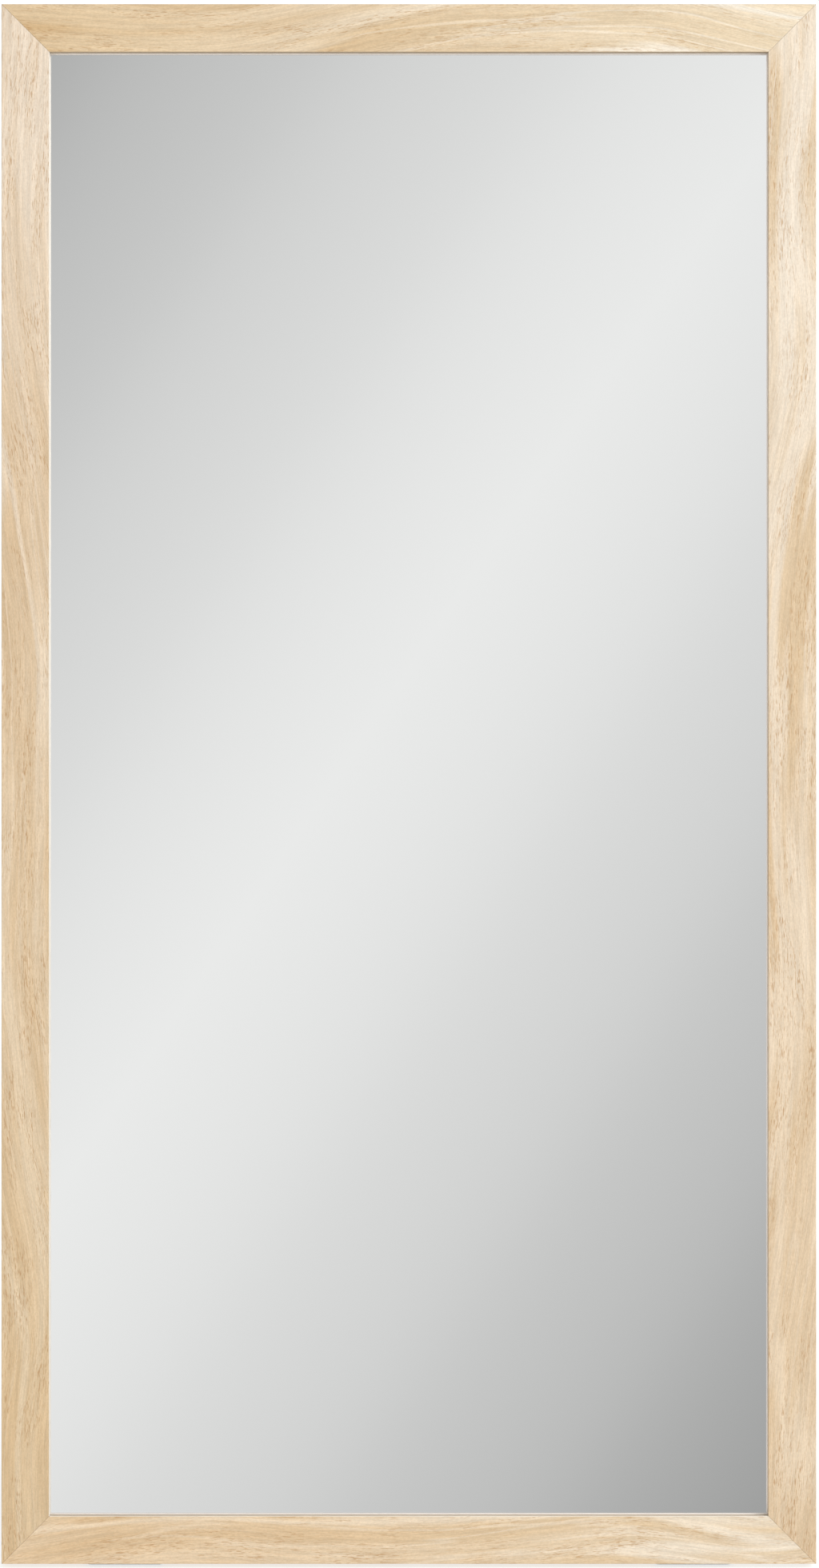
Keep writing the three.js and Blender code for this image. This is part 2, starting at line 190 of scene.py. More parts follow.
class MirrorHardwareSettings(bpy.types.PropertyGroup):
    """Sizes and colours of the metal, nylon and rubber parts."""

    edge_break: length_setting("Edge break", "Rounding of pressed steel edges", 0.3)
    screw_gap: length_setting("Countersink gap", "Ring left round each screw head", 0.2)
    recess_depth: length_setting("Recess depth", "Depth of the cross in a screw head", 1.1)
    point_count: IntProperty(
        name="Points down each side", description="Framer's points along a stile", default=5,
        min=2, max=12,
    )
    zinc: colour_setting("Zinc", "Bright zinc plating", 196, 199, 203)
    passivate: colour_setting("Passivate", "Yellow cast where the plating is thicker", 205, 199, 176)
    black: colour_setting("Black coat", "Powder coat on the brackets", 34, 35, 37)
    nylon: colour_setting("Nylon", "Washers and the ring in each nut", 226, 224, 214)
    sole: colour_setting("Rubber", "Soles of the easel's legs", 30, 30, 31)
    pad: colour_setting("Clear pad", "Clear rubber pads under the frame", 206, 204, 196)


class MirrorStageSettings(bpy.types.PropertyGroup):
    """Floor, light and camera."""

    floor: colour_setting("Floor", "Colour of the lit panel that serves as floor", 164, 164, 163)
    floor_glow: FloatProperty(
        name="Floor glow", description="Light that the panel gives off itself", default=0.66,
        min=0.0, max=2.0,
    )
    ambient: FloatProperty(
        name="Soft light", description="Strength of the light from all round", default=0.93,
        min=0.0, max=4.0,
    )
    key_power: FloatProperty(
        name="Key light", description="Power of the large light at the upper right", default=18.0,
        min=0.0, subtype="POWER", unit="POWER",
    )
    strip_power: FloatProperty(
        name="Side light", description="Power of the strip light at the right", default=72.0,
        min=0.0, subtype="POWER", unit="POWER",
    )
    distance: FloatProperty(
        name="Camera distance", description="From the frame's face, square on to it", default=4.2,
        min=0.5, subtype="DISTANCE", unit="LENGTH",
    )
    margin: share_setting("Margin", "Share of the picture's height left round the frame", 0.0052)


# ---- Mesh helpers -------------------------------------------------------------------------


def slab(bm, low, high):
    """A box between two corners. Returns its corners."""
    made = bmesh.ops.create_cube(bm, size=1.0)["verts"]
    bmesh.ops.scale(bm, vec=Vector(high) - Vector(low), verts=made)
    bmesh.ops.translate(bm, vec=middle((Vector(low), Vector(high))), verts=made)
    return made


def round_off(bm, edges, width, segments=2):
    """Bevels edges to a round of this width."""
    if edges and width > 0:
        bmesh.ops.bevel(
            bm, geom=edges, offset=width, offset_type="OFFSET", segments=segments, profile=0.5,
            affect="EDGES", material=-1, clamp_overlap=True,
        )


def outer_edges(bm, least=math.radians(50)):
    """Edges that stand out, between faces that meet at more than this angle."""
    bm.normal_update()
    found = [e for e in bm.edges if len(e.link_faces) == 2 and e.is_convex]
    return [e for e in found if e.calc_face_angle(0.0) > least]


def runs_along(edge, axis):
    """Whether an edge lies along an axis, within about 25 degrees."""
    run = edge.verts[0].co - edge.verts[1].co
    return abs(getattr(run.normalized(), axis)) > 0.9


def corners_of(faces):
    """The corners of some faces, each once."""
    return list({v for f in faces for v in f.verts})


def pull(bm, faces):
    """Extrudes faces as one region. Returns the new ones, which still have to be moved."""
    region = faces + list({e for f in faces for e in f.edges}) + corners_of(faces)
    made = bmesh.ops.extrude_face_region(bm, geom=region)["geom"]
    return [g for g in made if isinstance(g, bmesh.types.BMFace)]


def facing(bm, axis, least=0.9):
    """Faces whose normals point along an axis."""
    bm.normal_update()
    return [f for f in bm.faces if f.normal.dot(Vector(axis)) > least]


def saw(bm, point, normal, keep_all=False):
    """Cuts the mesh with a plane, clears what is in front of it and closes the cut."""
    everything = bm.verts[:] + bm.edges[:] + bm.faces[:]
    made = bmesh.ops.bisect_plane(
        bm, geom=everything, dist=1e-7, plane_co=point, plane_no=normal,
        clear_outer=not keep_all, clear_inner=False,
    )
    if not keep_all:
        rim = [g for g in made["geom_cut"] if isinstance(g, bmesh.types.BMEdge)]
        open_rim = [e for e in rim if e.is_valid and e.is_boundary]
        bmesh.ops.contextual_create(bm, geom=open_rim)


def circle(radius):
    """A round outline."""
    return lambda angle: radius


def hexagon(across_flats):
    """A six-sided outline."""
    sixth = math.pi / 3

    def reach(angle):
        return across_flats / 2 / math.cos((angle + sixth / 2) % sixth - sixth / 2)

    return reach


def cross(half_width, arm):
    """The outline of a cross recess."""
    quarter = math.pi / 2

    def reach(angle):
        turned = abs((angle + quarter / 2) % quarter - quarter / 2)
        return min(arm / math.cos(turned), half_width / max(math.sin(turned), 1e-6))

    return reach


def shape_ring(face, outline, height):
    """Moves a face's corners on to an outline round the Z axis, at one height."""
    for v in face.verts:
        angle = math.atan2(v.co.y, v.co.x)
        radius = outline(angle)
        v.co = Vector((radius * math.cos(angle), radius * math.sin(angle), height))


def turn_part(bm, rings, place, sides=24):
    """A closed part built ring by ring up its own Z axis, then put in its place."""
    made = bmesh.ops.create_circle(bm, cap_ends=True, segments=sides, radius=1.0)["verts"]
    face = made[0].link_faces[0]
    shape_ring(face, *rings[0])
    part = set(made)
    for outline, height in rings[1:]:
        face = pull(bm, [face])[0]
        shape_ring(face, outline, height)
        part.update(face.verts)
    bmesh.ops.transform(bm, matrix=place, verts=[v for v in part if v.is_valid])


HOLE_CELL = 4.4 * MM  # half the square of plate that each countersunk hole is cut in
HOLE_RADIUS = 1.9 * MM  # of the hole below a countersink
PLATE_SINK = 1.75 * MM  # depth of a countersink in the plates and brackets
STRAP_SINK = 1.3 * MM  # and in the thinner hanger straps


def pierced_plate(bm, width, height, thickness, holes, cuts=(), away=None):
    """A plate on the XY plane, thick towards +Z, that its holes divide into a neat grid.

    holes are the middles of its countersunk holes, cuts are extra lines as (axis, distance), and
    away says which parts of the blank are sheared off. The holes themselves are sunk later.
    """
    blank = bmesh.ops.create_grid(bm, x_segments=1, y_segments=1, size=0.5)["verts"]
    bmesh.ops.scale(bm, vec=(width, height, 1.0), verts=blank)
    bmesh.ops.translate(bm, vec=(width / 2, height / 2, 0.0), verts=blank)
    lines = set(cuts)
    for across, up in holes:
        lines |= {(0, across - HOLE_CELL), (0, across + HOLE_CELL)}
        lines |= {(1, up - HOLE_CELL), (1, up + HOLE_CELL)}
    for axis, distance in sorted(lines):
        normal = Vector((1, 0, 0)) if axis == 0 else Vector((0, 1, 0))
        saw(bm, normal * distance, normal, keep_all=True)
    if away:
        gone = [f for f in bm.faces if away(f.calc_center_median())]
        bmesh.ops.delete(bm, geom=gone, context="FACES")
    top = pull(bm, bm.faces[:])
    bmesh.ops.translate(bm, vec=(0, 0, thickness), verts=corners_of(top))
    bmesh.ops.recalc_face_normals(bm, faces=bm.faces[:])


def countersink(bm, hole, top, rim, depth):
    """Sinks a conical pocket in the grid cell round a hole's middle."""
    centre = Vector((hole[0], hole[1], top))
    found = [f for f in facing(bm, (0, 0, 1)) if (f.calc_center_median() - centre).length < MM]
    if not found:
        raise RuntimeError("no cell of the plate lies round this hole")
    cell = found[0]
    bmesh.ops.bisect_edges(bm, edges=cell.edges[:], cuts=5)
    bmesh.ops.inset_individual(bm, faces=[cell], thickness=0.2 * MM)
    for radius, height in ((rim, top), (HOLE_RADIUS, top - depth)):
        for v in cell.verts:
            out = (v.co - centre) * Vector((1, 1, 0))
            v.co = Vector((centre.x, centre.y, height)) + out.normalized() * radius
        if height == top:
            cell = pull(bm, [cell])[0]


def trim_plate(bm, corner, edge_break, top):
    """Rounds a plate's corners, then breaks the edge all round its upper face."""
    standing = [e for e in outer_edges(bm) if abs(e.verts[0].co.z - e.verts[1].co.z) > 0.5 * MM]
    round_off(bm, standing, corner, segments=5)
    bm.normal_update()
    rim = [
        e
        for e in bm.edges
        if all(abs(v.co.z - top) < 1e-6 for v in e.verts)
        and len(e.link_faces) == 2
        and min(abs(f.normal.z) for f in e.link_faces) < 0.2
        and max(f.normal.z for f in e.link_faces) > 0.9
    ]
    round_off(bm, rim, edge_break)


def on_frame_back(origin, across=1.0, up=1.0):
    """Puts a plate that was drawn flat on XY on to the back of the frame, facing +Y."""
    turned = Matrix(((across, 0, 0, 0), (0, 0, 1, 0), (0, up, 0, 0), (0, 0, 0, 1)))
    return Matrix.Translation(origin) @ turned


def finish_piece(bm, name, axes, material, body, slot, *replaced):
    """Turns a mesh from its own axes to the world's and makes it a piece of a body."""
    bmesh.ops.recalc_face_normals(bm, faces=bm.faces[:])
    bmesh.ops.transform(bm, matrix=axes, verts=bm.verts[:])
    mesh = bpy.data.meshes.new(name)
    bm.to_mesh(mesh)
    bm.free()
    materials = material if isinstance(material, (list, tuple)) else [material]
    for one in materials:
        mesh.materials.append(one)
    piece = bpy.data.objects.new(name, mesh)
    bpy.context.scene.collection.objects.link(piece)
    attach(piece, body)
    if replaced:
        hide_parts(*replaced)
    return piece


def smooth(piece, angle=35.0):
    """Smooth shading that stays crisp at edges sharper than an angle in degrees."""
    piece.data.shade_smooth()
    piece.data.set_sharp_from_angle(angle=math.radians(angle))


# ---- Finishes -----------------------------------------------------------------------------


class Nodes:
    """A node tree whose nodes are put down one at a time."""

    def __init__(self, owner):
        owner.use_nodes = True
        self.nodes = owner.node_tree.nodes
        self.links = owner.node_tree.links
        self.nodes.clear()

    def put(self, kind, inputs, result=0, **settings):
        """Adds a node, sets it, and returns one of its outputs."""
        node = self.nodes.new("ShaderNode" + kind)
        for setting, value in settings.items():
            setattr(node, setting, value)
        for socket, value in inputs.items():
            if isinstance(value, bpy.types.NodeSocket):
                self.links.new(value, node.inputs[socket])
            else:
                node.inputs[socket].default_value = value
        return node.outputs[result]

    def reckon(self, operation, first, second=0.0, third=0.0):
        """One step of arithmetic."""
        return self.put("Math", {0: first, 1: second, 2: third}, operation=operation)

    def parts(self, vector):
        """A vector's X, Y and Z."""
        node = self.put("SeparateXYZ", {"Vector": vector}).node
        return node.outputs[0], node.outputs[1], node.outputs[2]


class Finish(Nodes):
    """A material with one shader."""

    def __init__(self, name, **constants):
        self.material = bpy.data.materials.new(name)
        super().__init__(self.material)
        self.shader = self.nodes.new("ShaderNodeBsdfPrincipled")
        output = self.nodes.new("ShaderNodeOutputMaterial")
        self.links.new(self.shader.outputs["BSDF"], output.inputs["Surface"])
        for socket, value in constants.items():
            self.shader.inputs[socket.replace("_", " ")].default_value = value

    def place(self, rotation=(0.0, 0.0, 0.0), offset=(0.0, 0.0, 0.0)):
        """Object coordinates, turned and shifted, in metres."""
        space = self.put("TexCoord", {}, "Object")
        turned = {"Vector": space, "Rotation": rotation, "Location": offset}
        return self.put("Mapping", turned, vector_type="POINT")

    def stretch(self, vector, factors):
        return self.put("VectorMath", {0: vector, 1: factors}, operation="MULTIPLY")

    def noise(self, vector, factors, detail=2.0, roughness=0.5, distortion=0.0):
        """Noise that has this many swings per metre along each axis."""
        inputs = {
            "Vector": self.stretch(vector, factors), "Scale": 1.0, "Detail": detail,
            "Roughness": roughness, "Distortion": distortion,
        }
        return self.put("TexNoise", inputs)

    def contour(self, value, *ramp):
        """A line that follows where a value crosses its middle."""
        return self.spread(self.reckon("ABSOLUTE", self.reckon("SUBTRACT", value, 0.5)), *ramp)

    def shift(self, value, amount, onto):
        """Adds this much of a value's swing about its middle on to another value."""
        return self.reckon("MULTIPLY_ADD", self.reckon("SUBTRACT", value, 0.5), amount, onto)

    def spread(self, value, low, high, to_low=0.0, to_high=1.0):
        """A smooth step from one range to another."""
        inputs = {"Value": value, 1: low, 2: high, 3: to_low, 4: to_high}
        return self.put("MapRange", inputs, interpolation_type="SMOOTHSTEP", clamp=True)

    def mix(self, share, first, second, blend="MIX"):
        inputs = {0: share, 6: rgba(first), 7: rgba(second)}
        return self.put("Mix", inputs, 2, data_type="RGBA", blend_type=blend)

    def shade(self, colour, by):
        """A colour times a value or another colour."""
        if isinstance(by, bpy.types.NodeSocket) and by.type == "VALUE":
            by = self.put("CombineColor", {0: by, 1: by, 2: by})
        return self.mix(1.0, colour, by, blend="MULTIPLY")

    def bump(self, height, distance, strength=1.0):
        inputs = {"Height": height, "Distance": distance, "Strength": strength}
        self.drive("Normal", self.put("Bump", inputs))

    def drive(self, socket, value):
        self.links.new(value, self.shader.inputs[socket])


def rgba(colour):
    """A colour with an alpha of 1, or the socket that it already is."""
    if isinstance(colour, bpy.types.NodeSocket):
        return colour
    return (*tuple(colour)[:3], 1.0)


def timber_finish(name, timber, rotation, seed, slope=0.0, warmth=0.5, painted_light_ramp=None, lip=0.0):
    """Pale open-pored timber whose grain runs along its own Z.

    slope is how far the grain drifts across for each metre along, warmth how much of the tan
    wood shows, and the optional (colour, colour) pair is a painted light ramp from the foot of the
    frame to its head, or along a rail from left to right. It is painted light that makes the board
    lighter and whiter where the light falls.
    lip is how deep the arris beside the glass is painted pale, a painted highlight. Deeper in, the
    side of the lip is painted darker, a painted shade.
    """
    chance = random.Random(seed)
    offset = [chance.uniform(2.0, 30.0) for _ in range(3)]
    wood = Finish(
        name, Coat_Weight=timber.gloss, Coat_Roughness=0.42, Coat_IOR=1.47, IOR=1.45,
        Specular_IOR_Level=0.32,
    )
    at = wood.place(rotation, offset)
    across, deep, along = wood.parts(at)

    # The grain wanders slowly to one side and back as it runs along the piece.
    drift = wood.shift(wood.noise(at, (0.4, 0.4, 1.9), detail=1.0), 0.14, across)
    drift = wood.reckon("MULTIPLY_ADD", along, slope, drift)
    drift = wood.shift(wood.noise(at, (14.0, 14.0, 7.0), detail=1.0), 0.006, drift)
    grain = wood.put("CombineXYZ", {0: drift, 1: deep, 2: along})

    # Broad tan and pale bands, soft patches, and narrow cream streaks.
    bands = wood.noise(grain, (26.0, 26.0, 0.9), detail=2.0, roughness=0.55)
    patches = wood.noise(grain, (11.0, 11.0, 2.6), detail=3.0, roughness=0.55)
    blend = wood.reckon("MULTIPLY_ADD", patches, 0.5, wood.reckon("MULTIPLY", bands, 0.6))
    cooler = 0.12 * (0.5 - warmth)
    tan_share = wood.spread(blend, 0.44 + cooler, 0.68 + cooler)
    colour = wood.mix(tan_share, timber.pale, timber.tan)
    veins = wood.noise(grain, (19.0, 19.0, 1.2), detail=3.0, roughness=0.4)
    threads = wood.noise(grain, (44.0, 44.0, 2.2), detail=2.0, roughness=0.5)
    vein_share = wood.contour(veins, 0.008, 0.052, 0.7, 0.0)
    thread_share = wood.contour(threads, 0.0, 0.03, 0.42, 0.0)
    colour = wood.mix(wood.reckon("MAXIMUM", vein_share, thread_share), colour, timber.streak)

    # Fibres, at two widths.
    fine = wood.noise(grain, (900.0, 900.0, 34.0), detail=3.0, roughness=0.65)
    coarse = wood.noise(grain, (240.0, 240.0, 10.0), detail=4.0, roughness=0.65)
    fibre = wood.reckon("MULTIPLY_ADD", fine, 0.5, wood.reckon("MULTIPLY", coarse, 0.5))
    shade = wood.spread(fibre, 0.32, 0.68, 0.87, 1.09)
    mottle = wood.noise(at, (620.0, 620.0, 330.0), detail=2.0, roughness=0.7)
    shade = wood.reckon("MULTIPLY", shade, wood.spread(mottle, 0.3, 0.7, 0.95, 1.05))
    colour = wood.shade(colour, shade)

    # Pores: short lines that come in clusters.
    dashes = wood.noise(grain, (1500.0, 1500.0, 125.0), detail=1.0, roughness=0.5)
    clusters = wood.noise(grain, (60.0, 60.0, 10.0), detail=3.0, roughness=0.6)
    crowd = wood.spread(clusters, 0.42, 0.62, 0.2, 1.0)
    pore = wood.reckon("MULTIPLY", wood.spread(dashes, 0.55, 0.66), crowd)
    colour = wood.mix(wood.reckon("MULTIPLY", pore, 0.68), colour, timber.pore)

    # Pin specks, few and far between.
    cell = wood.put(
        "TexVoronoi", {"Vector": wood.stretch(at, (36.0, 36.0, 30.0)), "Scale": 1.0},
    ).node
    rare = wood.spread(wood.parts(cell.outputs["Color"])[0], 0.955, 0.96)
    near = wood.spread(cell.outputs["Distance"], 0.016, 0.03, 1.0, 0.0)
    colour = wood.mix(wood.reckon("MULTIPLY", rare, near), colour, timber.speck)

    # Painted light: each board is painted lighter and whiter at its end towards the upper right of
    # the frame, where the light falls, and darker and warmer at its other end. The level also
    # differs from board to board.
    if painted_light_ramp:
        _, _, run = wood.parts(wood.place(rotation))
        upright = abs(rotation[1]) < 0.1
        start, end = (FRAME_LOW.z, FRAME_HIGH.z) if upright else (FRAME_LOW.x, FRAME_HIGH.x)
        colour = wood.shade(colour, wood.mix(wood.spread(run, start, end), *painted_light_ramp))
    # Painted light on the lip beside the glass: its front, down to the lip depth, is painted pale as
    # a painted highlight, and its side deeper in is painted darker as a painted shade. The left
    # stile's lip is painted pale all through and the top rail's is painted darker all through.
    if lip:
        x, y, z = wood.parts(wood.place((FRAME_LEAN, 0.0, 0.0)))
        inside_x, inside_z, centre_z = opening()
        from_middle = wood.reckon("ABSOLUTE", wood.reckon("SUBTRACT", z, centre_z))
        above = wood.reckon("SUBTRACT", from_middle, inside_z)
        beside = wood.reckon("SUBTRACT", wood.reckon("ABSOLUTE", x), inside_x)
        edge = wood.spread(wood.reckon("MAXIMUM", above, beside), 0.3 * MM, 0.9 * MM, 0.92, 0.0)
        depth = wood.reckon("SUBTRACT", y, FACE_Y)
        painted_shade_share = wood.spread(depth, lip - 0.2 * MM, lip + 0.2 * MM)
        colour = wood.mix(edge, colour, wood.mix(painted_shade_share, timber.painted_highlight, timber.dust_and_shade))
    wood.drive("Base Color", colour)

    sheen = wood.reckon("MULTIPLY_ADD", fibre, 0.16, wood.reckon("MULTIPLY", patches, 0.1))
    wood.drive("Roughness", wood.reckon("ADD", sheen, 0.36))
    relief = wood.reckon("MULTIPLY_ADD", pore, -0.8, fibre)
    wood.bump(relief, 0.00012, 0.5)
    return wood.material


def toned(colour, share):
    """A colour made darker or lighter by a share."""
    return tuple(c * share for c in tuple(colour)[:3])


def opening():
    """Half the width and half the height of the opening, and the height of its middle."""
    half_x = FRAME_HIGH.x - FACE_WIDTH
    half_z = (FRAME_HIGH.z - FRAME_LOW.z) / 2 - FACE_WIDTH
    return half_x, half_z, middle((FRAME_LOW, FRAME_HIGH)).z


def silver_finish(glass):
    """The front of the glass: silver seen through clear float glass."""
    face = Finish("silvered_glass_face")
    at = face.place()
    wave = face.noise(at, (1.1, 1.1, 0.8), detail=1.0)
    tint = face.mix(face.spread(wave, 0.3, 0.7), glass.silver, toned(glass.silver, 0.995))
    across, _, up = face.parts(face.place((FRAME_LEAN, 0.0, 0.0)))
    inside_x, inside_z, centre_z = opening()
    from_left = face.reckon("ADD", across, inside_x)
    from_right = face.reckon("SUBTRACT", inside_x, across)
    from_foot = face.reckon("SUBTRACT", up, centre_z - inside_z)
    from_head = face.reckon("SUBTRACT", centre_z + inside_z, up)
    # Painted highlight: a pale, matt band is painted on the glass where it meets the lip, thinner on
    # the left, so that the glass's edge shows as a pale line.
    near_lip = face.reckon("MINIMUM", from_right, face.reckon("MINIMUM", from_foot, from_head))
    near_lip = face.reckon("MINIMUM", near_lip, face.reckon("ADD", from_left, 0.9 * MM))
    line = face.spread(near_lip, 1.0 * MM, 1.5 * MM, 1.0, 0.0)
    face.drive("Base Color", face.mix(line, tint, glass.seam))
    face.drive("Metallic", face.spread(line, 0.0, 1.0, 1.0, 0.0))
    face.drive("Roughness", face.spread(line, 0.0, 1.0, 0.0, 0.4))
    return face.material


def glass_edge_finish(glass):
    """The seamed edge of the glass, greenish and slightly frosted."""
    edge = Finish("glass_cut_edge", IOR=1.52, Coat_Weight=0.3, Coat_Roughness=0.1)
    at = edge.place()
    chips = edge.noise(at, (900.0, 900.0, 900.0), detail=3.0)
    colour = edge.mix(edge.spread(chips, 0.35, 0.75), glass.edge, toned(glass.edge, 1.25))
    edge.drive("Base Color", colour)
    edge.drive("Roughness", edge.spread(chips, 0.3, 0.8, 0.18, 0.5))
    edge.bump(chips, 0.00008, 0.6)
    return edge.material


def back_paint_finish(glass):
    """Grey paint over the silver, rolled on."""
    paint = Finish("mirror_back_paint")
    at = paint.place()
    roll = paint.noise(at, (420.0, 420.0, 300.0), detail=3.0)
    cloud = paint.noise(at, (7.0, 7.0, 7.0), detail=3.0)
    colour = paint.mix(paint.spread(cloud, 0.3, 0.7), glass.paint, toned(glass.paint, 0.9))
    paint.drive("Base Color", colour)
    paint.drive("Roughness", paint.spread(roll, 0.3, 0.7, 0.45, 0.62))
    paint.bump(roll, 0.00006, 0.5)
    return paint.material


def hardboard_finish(glass):
    """Tempered hardboard: smooth brown face with pressed fibres and flecks."""
    board = Finish("hardboard", Specular_IOR_Level=0.4)
    at = board.place((FRAME_LEAN, 0.0, 0.0))
    cloud = board.noise(at, (6.0, 6.0, 5.0), detail=4.0, roughness=0.6)
    fibre = board.noise(at, (420.0, 420.0, 300.0), detail=4.0, roughness=0.7, distortion=1.2)
    fleck = board.noise(at, (150.0, 150.0, 120.0), detail=2.0, distortion=2.0)
    base = board.mix(board.spread(cloud, 0.3, 0.7), glass.board, toned(glass.board, 0.8))
    pale = board.mix(board.spread(fibre, 0.5, 0.72, 0.0, 0.4), base, linear(158, 118, 82))
    colour = board.mix(board.spread(fleck, 0.66, 0.72, 0.0, 0.5), pale, linear(66, 44, 28))
    board.drive("Base Color", colour)
    scuff = board.noise(at, (3.0, 3.0, 60.0), detail=4.0, roughness=0.65)
    board.drive("Roughness", board.spread(scuff, 0.35, 0.7, 0.38, 0.62))
    board.bump(fibre, 0.00008, 0.5)
    return board.material


def card_finish(glass):
    """Corrugated card: liner paper with the flutes showing faintly through."""
    card = Finish("corrugated_card", Specular_IOR_Level=0.2)
    at = card.place((FRAME_LEAN, 0.0, 0.0))
    across, _, _ = card.parts(at)
    flutes = card.reckon("SINE", card.reckon("MULTIPLY", across, 2 * math.pi / 0.0065))
    pulp = card.noise(at, (700.0, 700.0, 500.0), detail=4.0, roughness=0.7)
    base = card.mix(card.spread(pulp, 0.35, 0.7), glass.card, toned(glass.card, 0.84))
    colour = card.mix(card.spread(flutes, 0.2, 1.0, 0.0, 0.25), base, linear(160, 124, 82))
    card.drive("Base Color", colour)
    card.drive("Roughness", card.spread(pulp, 0.3, 0.7, 0.8, 0.95))
    card.bump(card.reckon("MULTIPLY_ADD", flutes, 0.5, pulp), 0.00012, 0.6)
    return card.material


def zinc_finish(hardware):
    """Bright zinc plate with a faint cast, a fine drawn texture and handling marks."""
    zinc = Finish("zinc_plate", Metallic=1.0)
    at = zinc.place((FRAME_LEAN, 0.0, 0.0))
    cloud = zinc.noise(at, (90.0, 90.0, 90.0), detail=4.0, roughness=0.6)
    drawn = zinc.noise(at, (1600.0, 1600.0, 120.0), detail=3.0, roughness=0.6)
    spots = zinc.noise(at, (800.0, 800.0, 800.0), detail=2.0)
    colour = zinc.mix(zinc.spread(cloud, 0.36, 0.64), hardware.zinc, hardware.passivate)
    colour = zinc.shade(colour, zinc.spread(drawn, 0.3, 0.7, 0.86, 1.04))
    colour = zinc.mix(zinc.spread(spots, 0.62, 0.72, 0.0, 0.6), colour, linear(128, 130, 134))
    zinc.drive("Base Color", colour)
    worn = zinc.reckon("MULTIPLY_ADD", cloud, 0.22, zinc.reckon("MULTIPLY", drawn, 0.14))
    zinc.drive("Roughness", zinc.reckon("ADD", worn, 0.16))
    zinc.bump(drawn, 0.00002, 0.4)
    return zinc.material


def black_coat_finish(hardware):
    """Black powder coat: fine orange peel, rubbed brighter here and there."""
    coat = Finish("black_steel", Specular_IOR_Level=0.5)
    at = coat.place()
    peel = coat.noise(at, (900.0, 900.0, 900.0), detail=2.0)
    rub = coat.noise(at, (60.0, 60.0, 60.0), detail=4.0, roughness=0.65)
    colour = coat.mix(coat.spread(rub, 0.5, 0.75, 0.0, 0.6), hardware.black, linear(62, 63, 66))
    coat.drive("Base Color", colour)
    coat.drive("Roughness", coat.spread(rub, 0.3, 0.7, 0.52, 0.34))
    coat.bump(peel, 0.00005, 0.7)
    return coat.material


def nylon_finish(hardware):
    """Natural nylon, moulded, a little translucent."""
    nylon = Finish("nylon", Subsurface_Weight=0.15, Subsurface_Scale=0.002, IOR=1.53)
    at = nylon.place()
    cloud = nylon.noise(at, (300.0, 300.0, 300.0), detail=3.0)
    colour = nylon.mix(
        nylon.spread(cloud, 0.3, 0.7), hardware.nylon, toned(hardware.nylon, 0.9),
    )
    nylon.drive("Base Color", colour)
    nylon.drive("Roughness", nylon.spread(cloud, 0.3, 0.7, 0.35, 0.5))
    nylon.bump(cloud, 0.00003, 0.5)
    return nylon.material


def sole_finish(hardware):
    """Black rubber, matte, dusty where it meets the floor."""
    rubber = Finish("black_rubber", Specular_IOR_Level=0.3)
    at = rubber.place()
    grit = rubber.noise(at, (1200.0, 1200.0, 1200.0), detail=3.0)
    dust_and_shade = rubber.noise(at, (70.0, 70.0, 160.0), detail=4.0, roughness=0.65)
    _, _, up = rubber.parts(at)
    low = rubber.spread(up, 0.0, 0.005, 0.75, 0.2)
    share = rubber.reckon("MULTIPLY", rubber.spread(dust_and_shade, 0.4, 0.75), low)
    rubber.drive("Base Color", rubber.mix(share, hardware.sole, linear(120, 116, 108)))
    rubber.drive("Roughness", rubber.spread(grit, 0.3, 0.7, 0.68, 0.88))
    rubber.bump(grit, 0.00008, 0.6)
    return rubber.material


def pad_finish(hardware):
    """Clear rubber, slightly cloudy, with dust caught in its surface."""
    pad = Finish(
        "clear_rubber", Transmission_Weight=0.45, IOR=1.49, Subsurface_Weight=0.1,
        Subsurface_Scale=0.002,
    )
    at = pad.place()
    cloud = pad.noise(at, (120.0, 120.0, 120.0), detail=3.0)
    specks = pad.noise(at, (1500.0, 1500.0, 1500.0), detail=2.0)
    base = pad.mix(pad.spread(cloud, 0.3, 0.7), hardware.pad, toned(hardware.pad, 0.86))
    colour = pad.mix(pad.spread(specks, 0.7, 0.78, 0.0, 0.6), base, linear(150, 144, 134))
    pad.drive("Base Color", colour)
    pad.drive("Roughness", pad.spread(cloud, 0.3, 0.7, 0.28, 0.5))
    pad.bump(specks, 0.00004, 0.5)
    return pad.material


def floor_finish(stage):
    """A plain pale floor, with the faintest clouding."""
    ground = Finish(
        "studio_floor", Specular_IOR_Level=0.1, Roughness=0.9,
        Emission_Color=(1.0, 1.0, 1.0, 1.0), Emission_Strength=stage.floor_glow,
    )
    at = ground.place()
    cloud = ground.noise(at, (0.8, 0.8, 0.8), detail=3.0)
    grain = ground.noise(at, (160.0, 160.0, 160.0), detail=2.0)
    colour = ground.mix(
        ground.spread(cloud, 0.3, 0.7), stage.floor, toned(stage.floor, 0.985),
    )
    ground.drive("Base Color", colour)
    ground.bump(grain, 0.0002, 0.1)
    return ground.material


def made_once(name, maker, settings):
    """A finish that several operators share."""
    return bpy.data.materials.get(name) or maker(settings)


# ---- The timber frame ---------------------------------------------------------------------

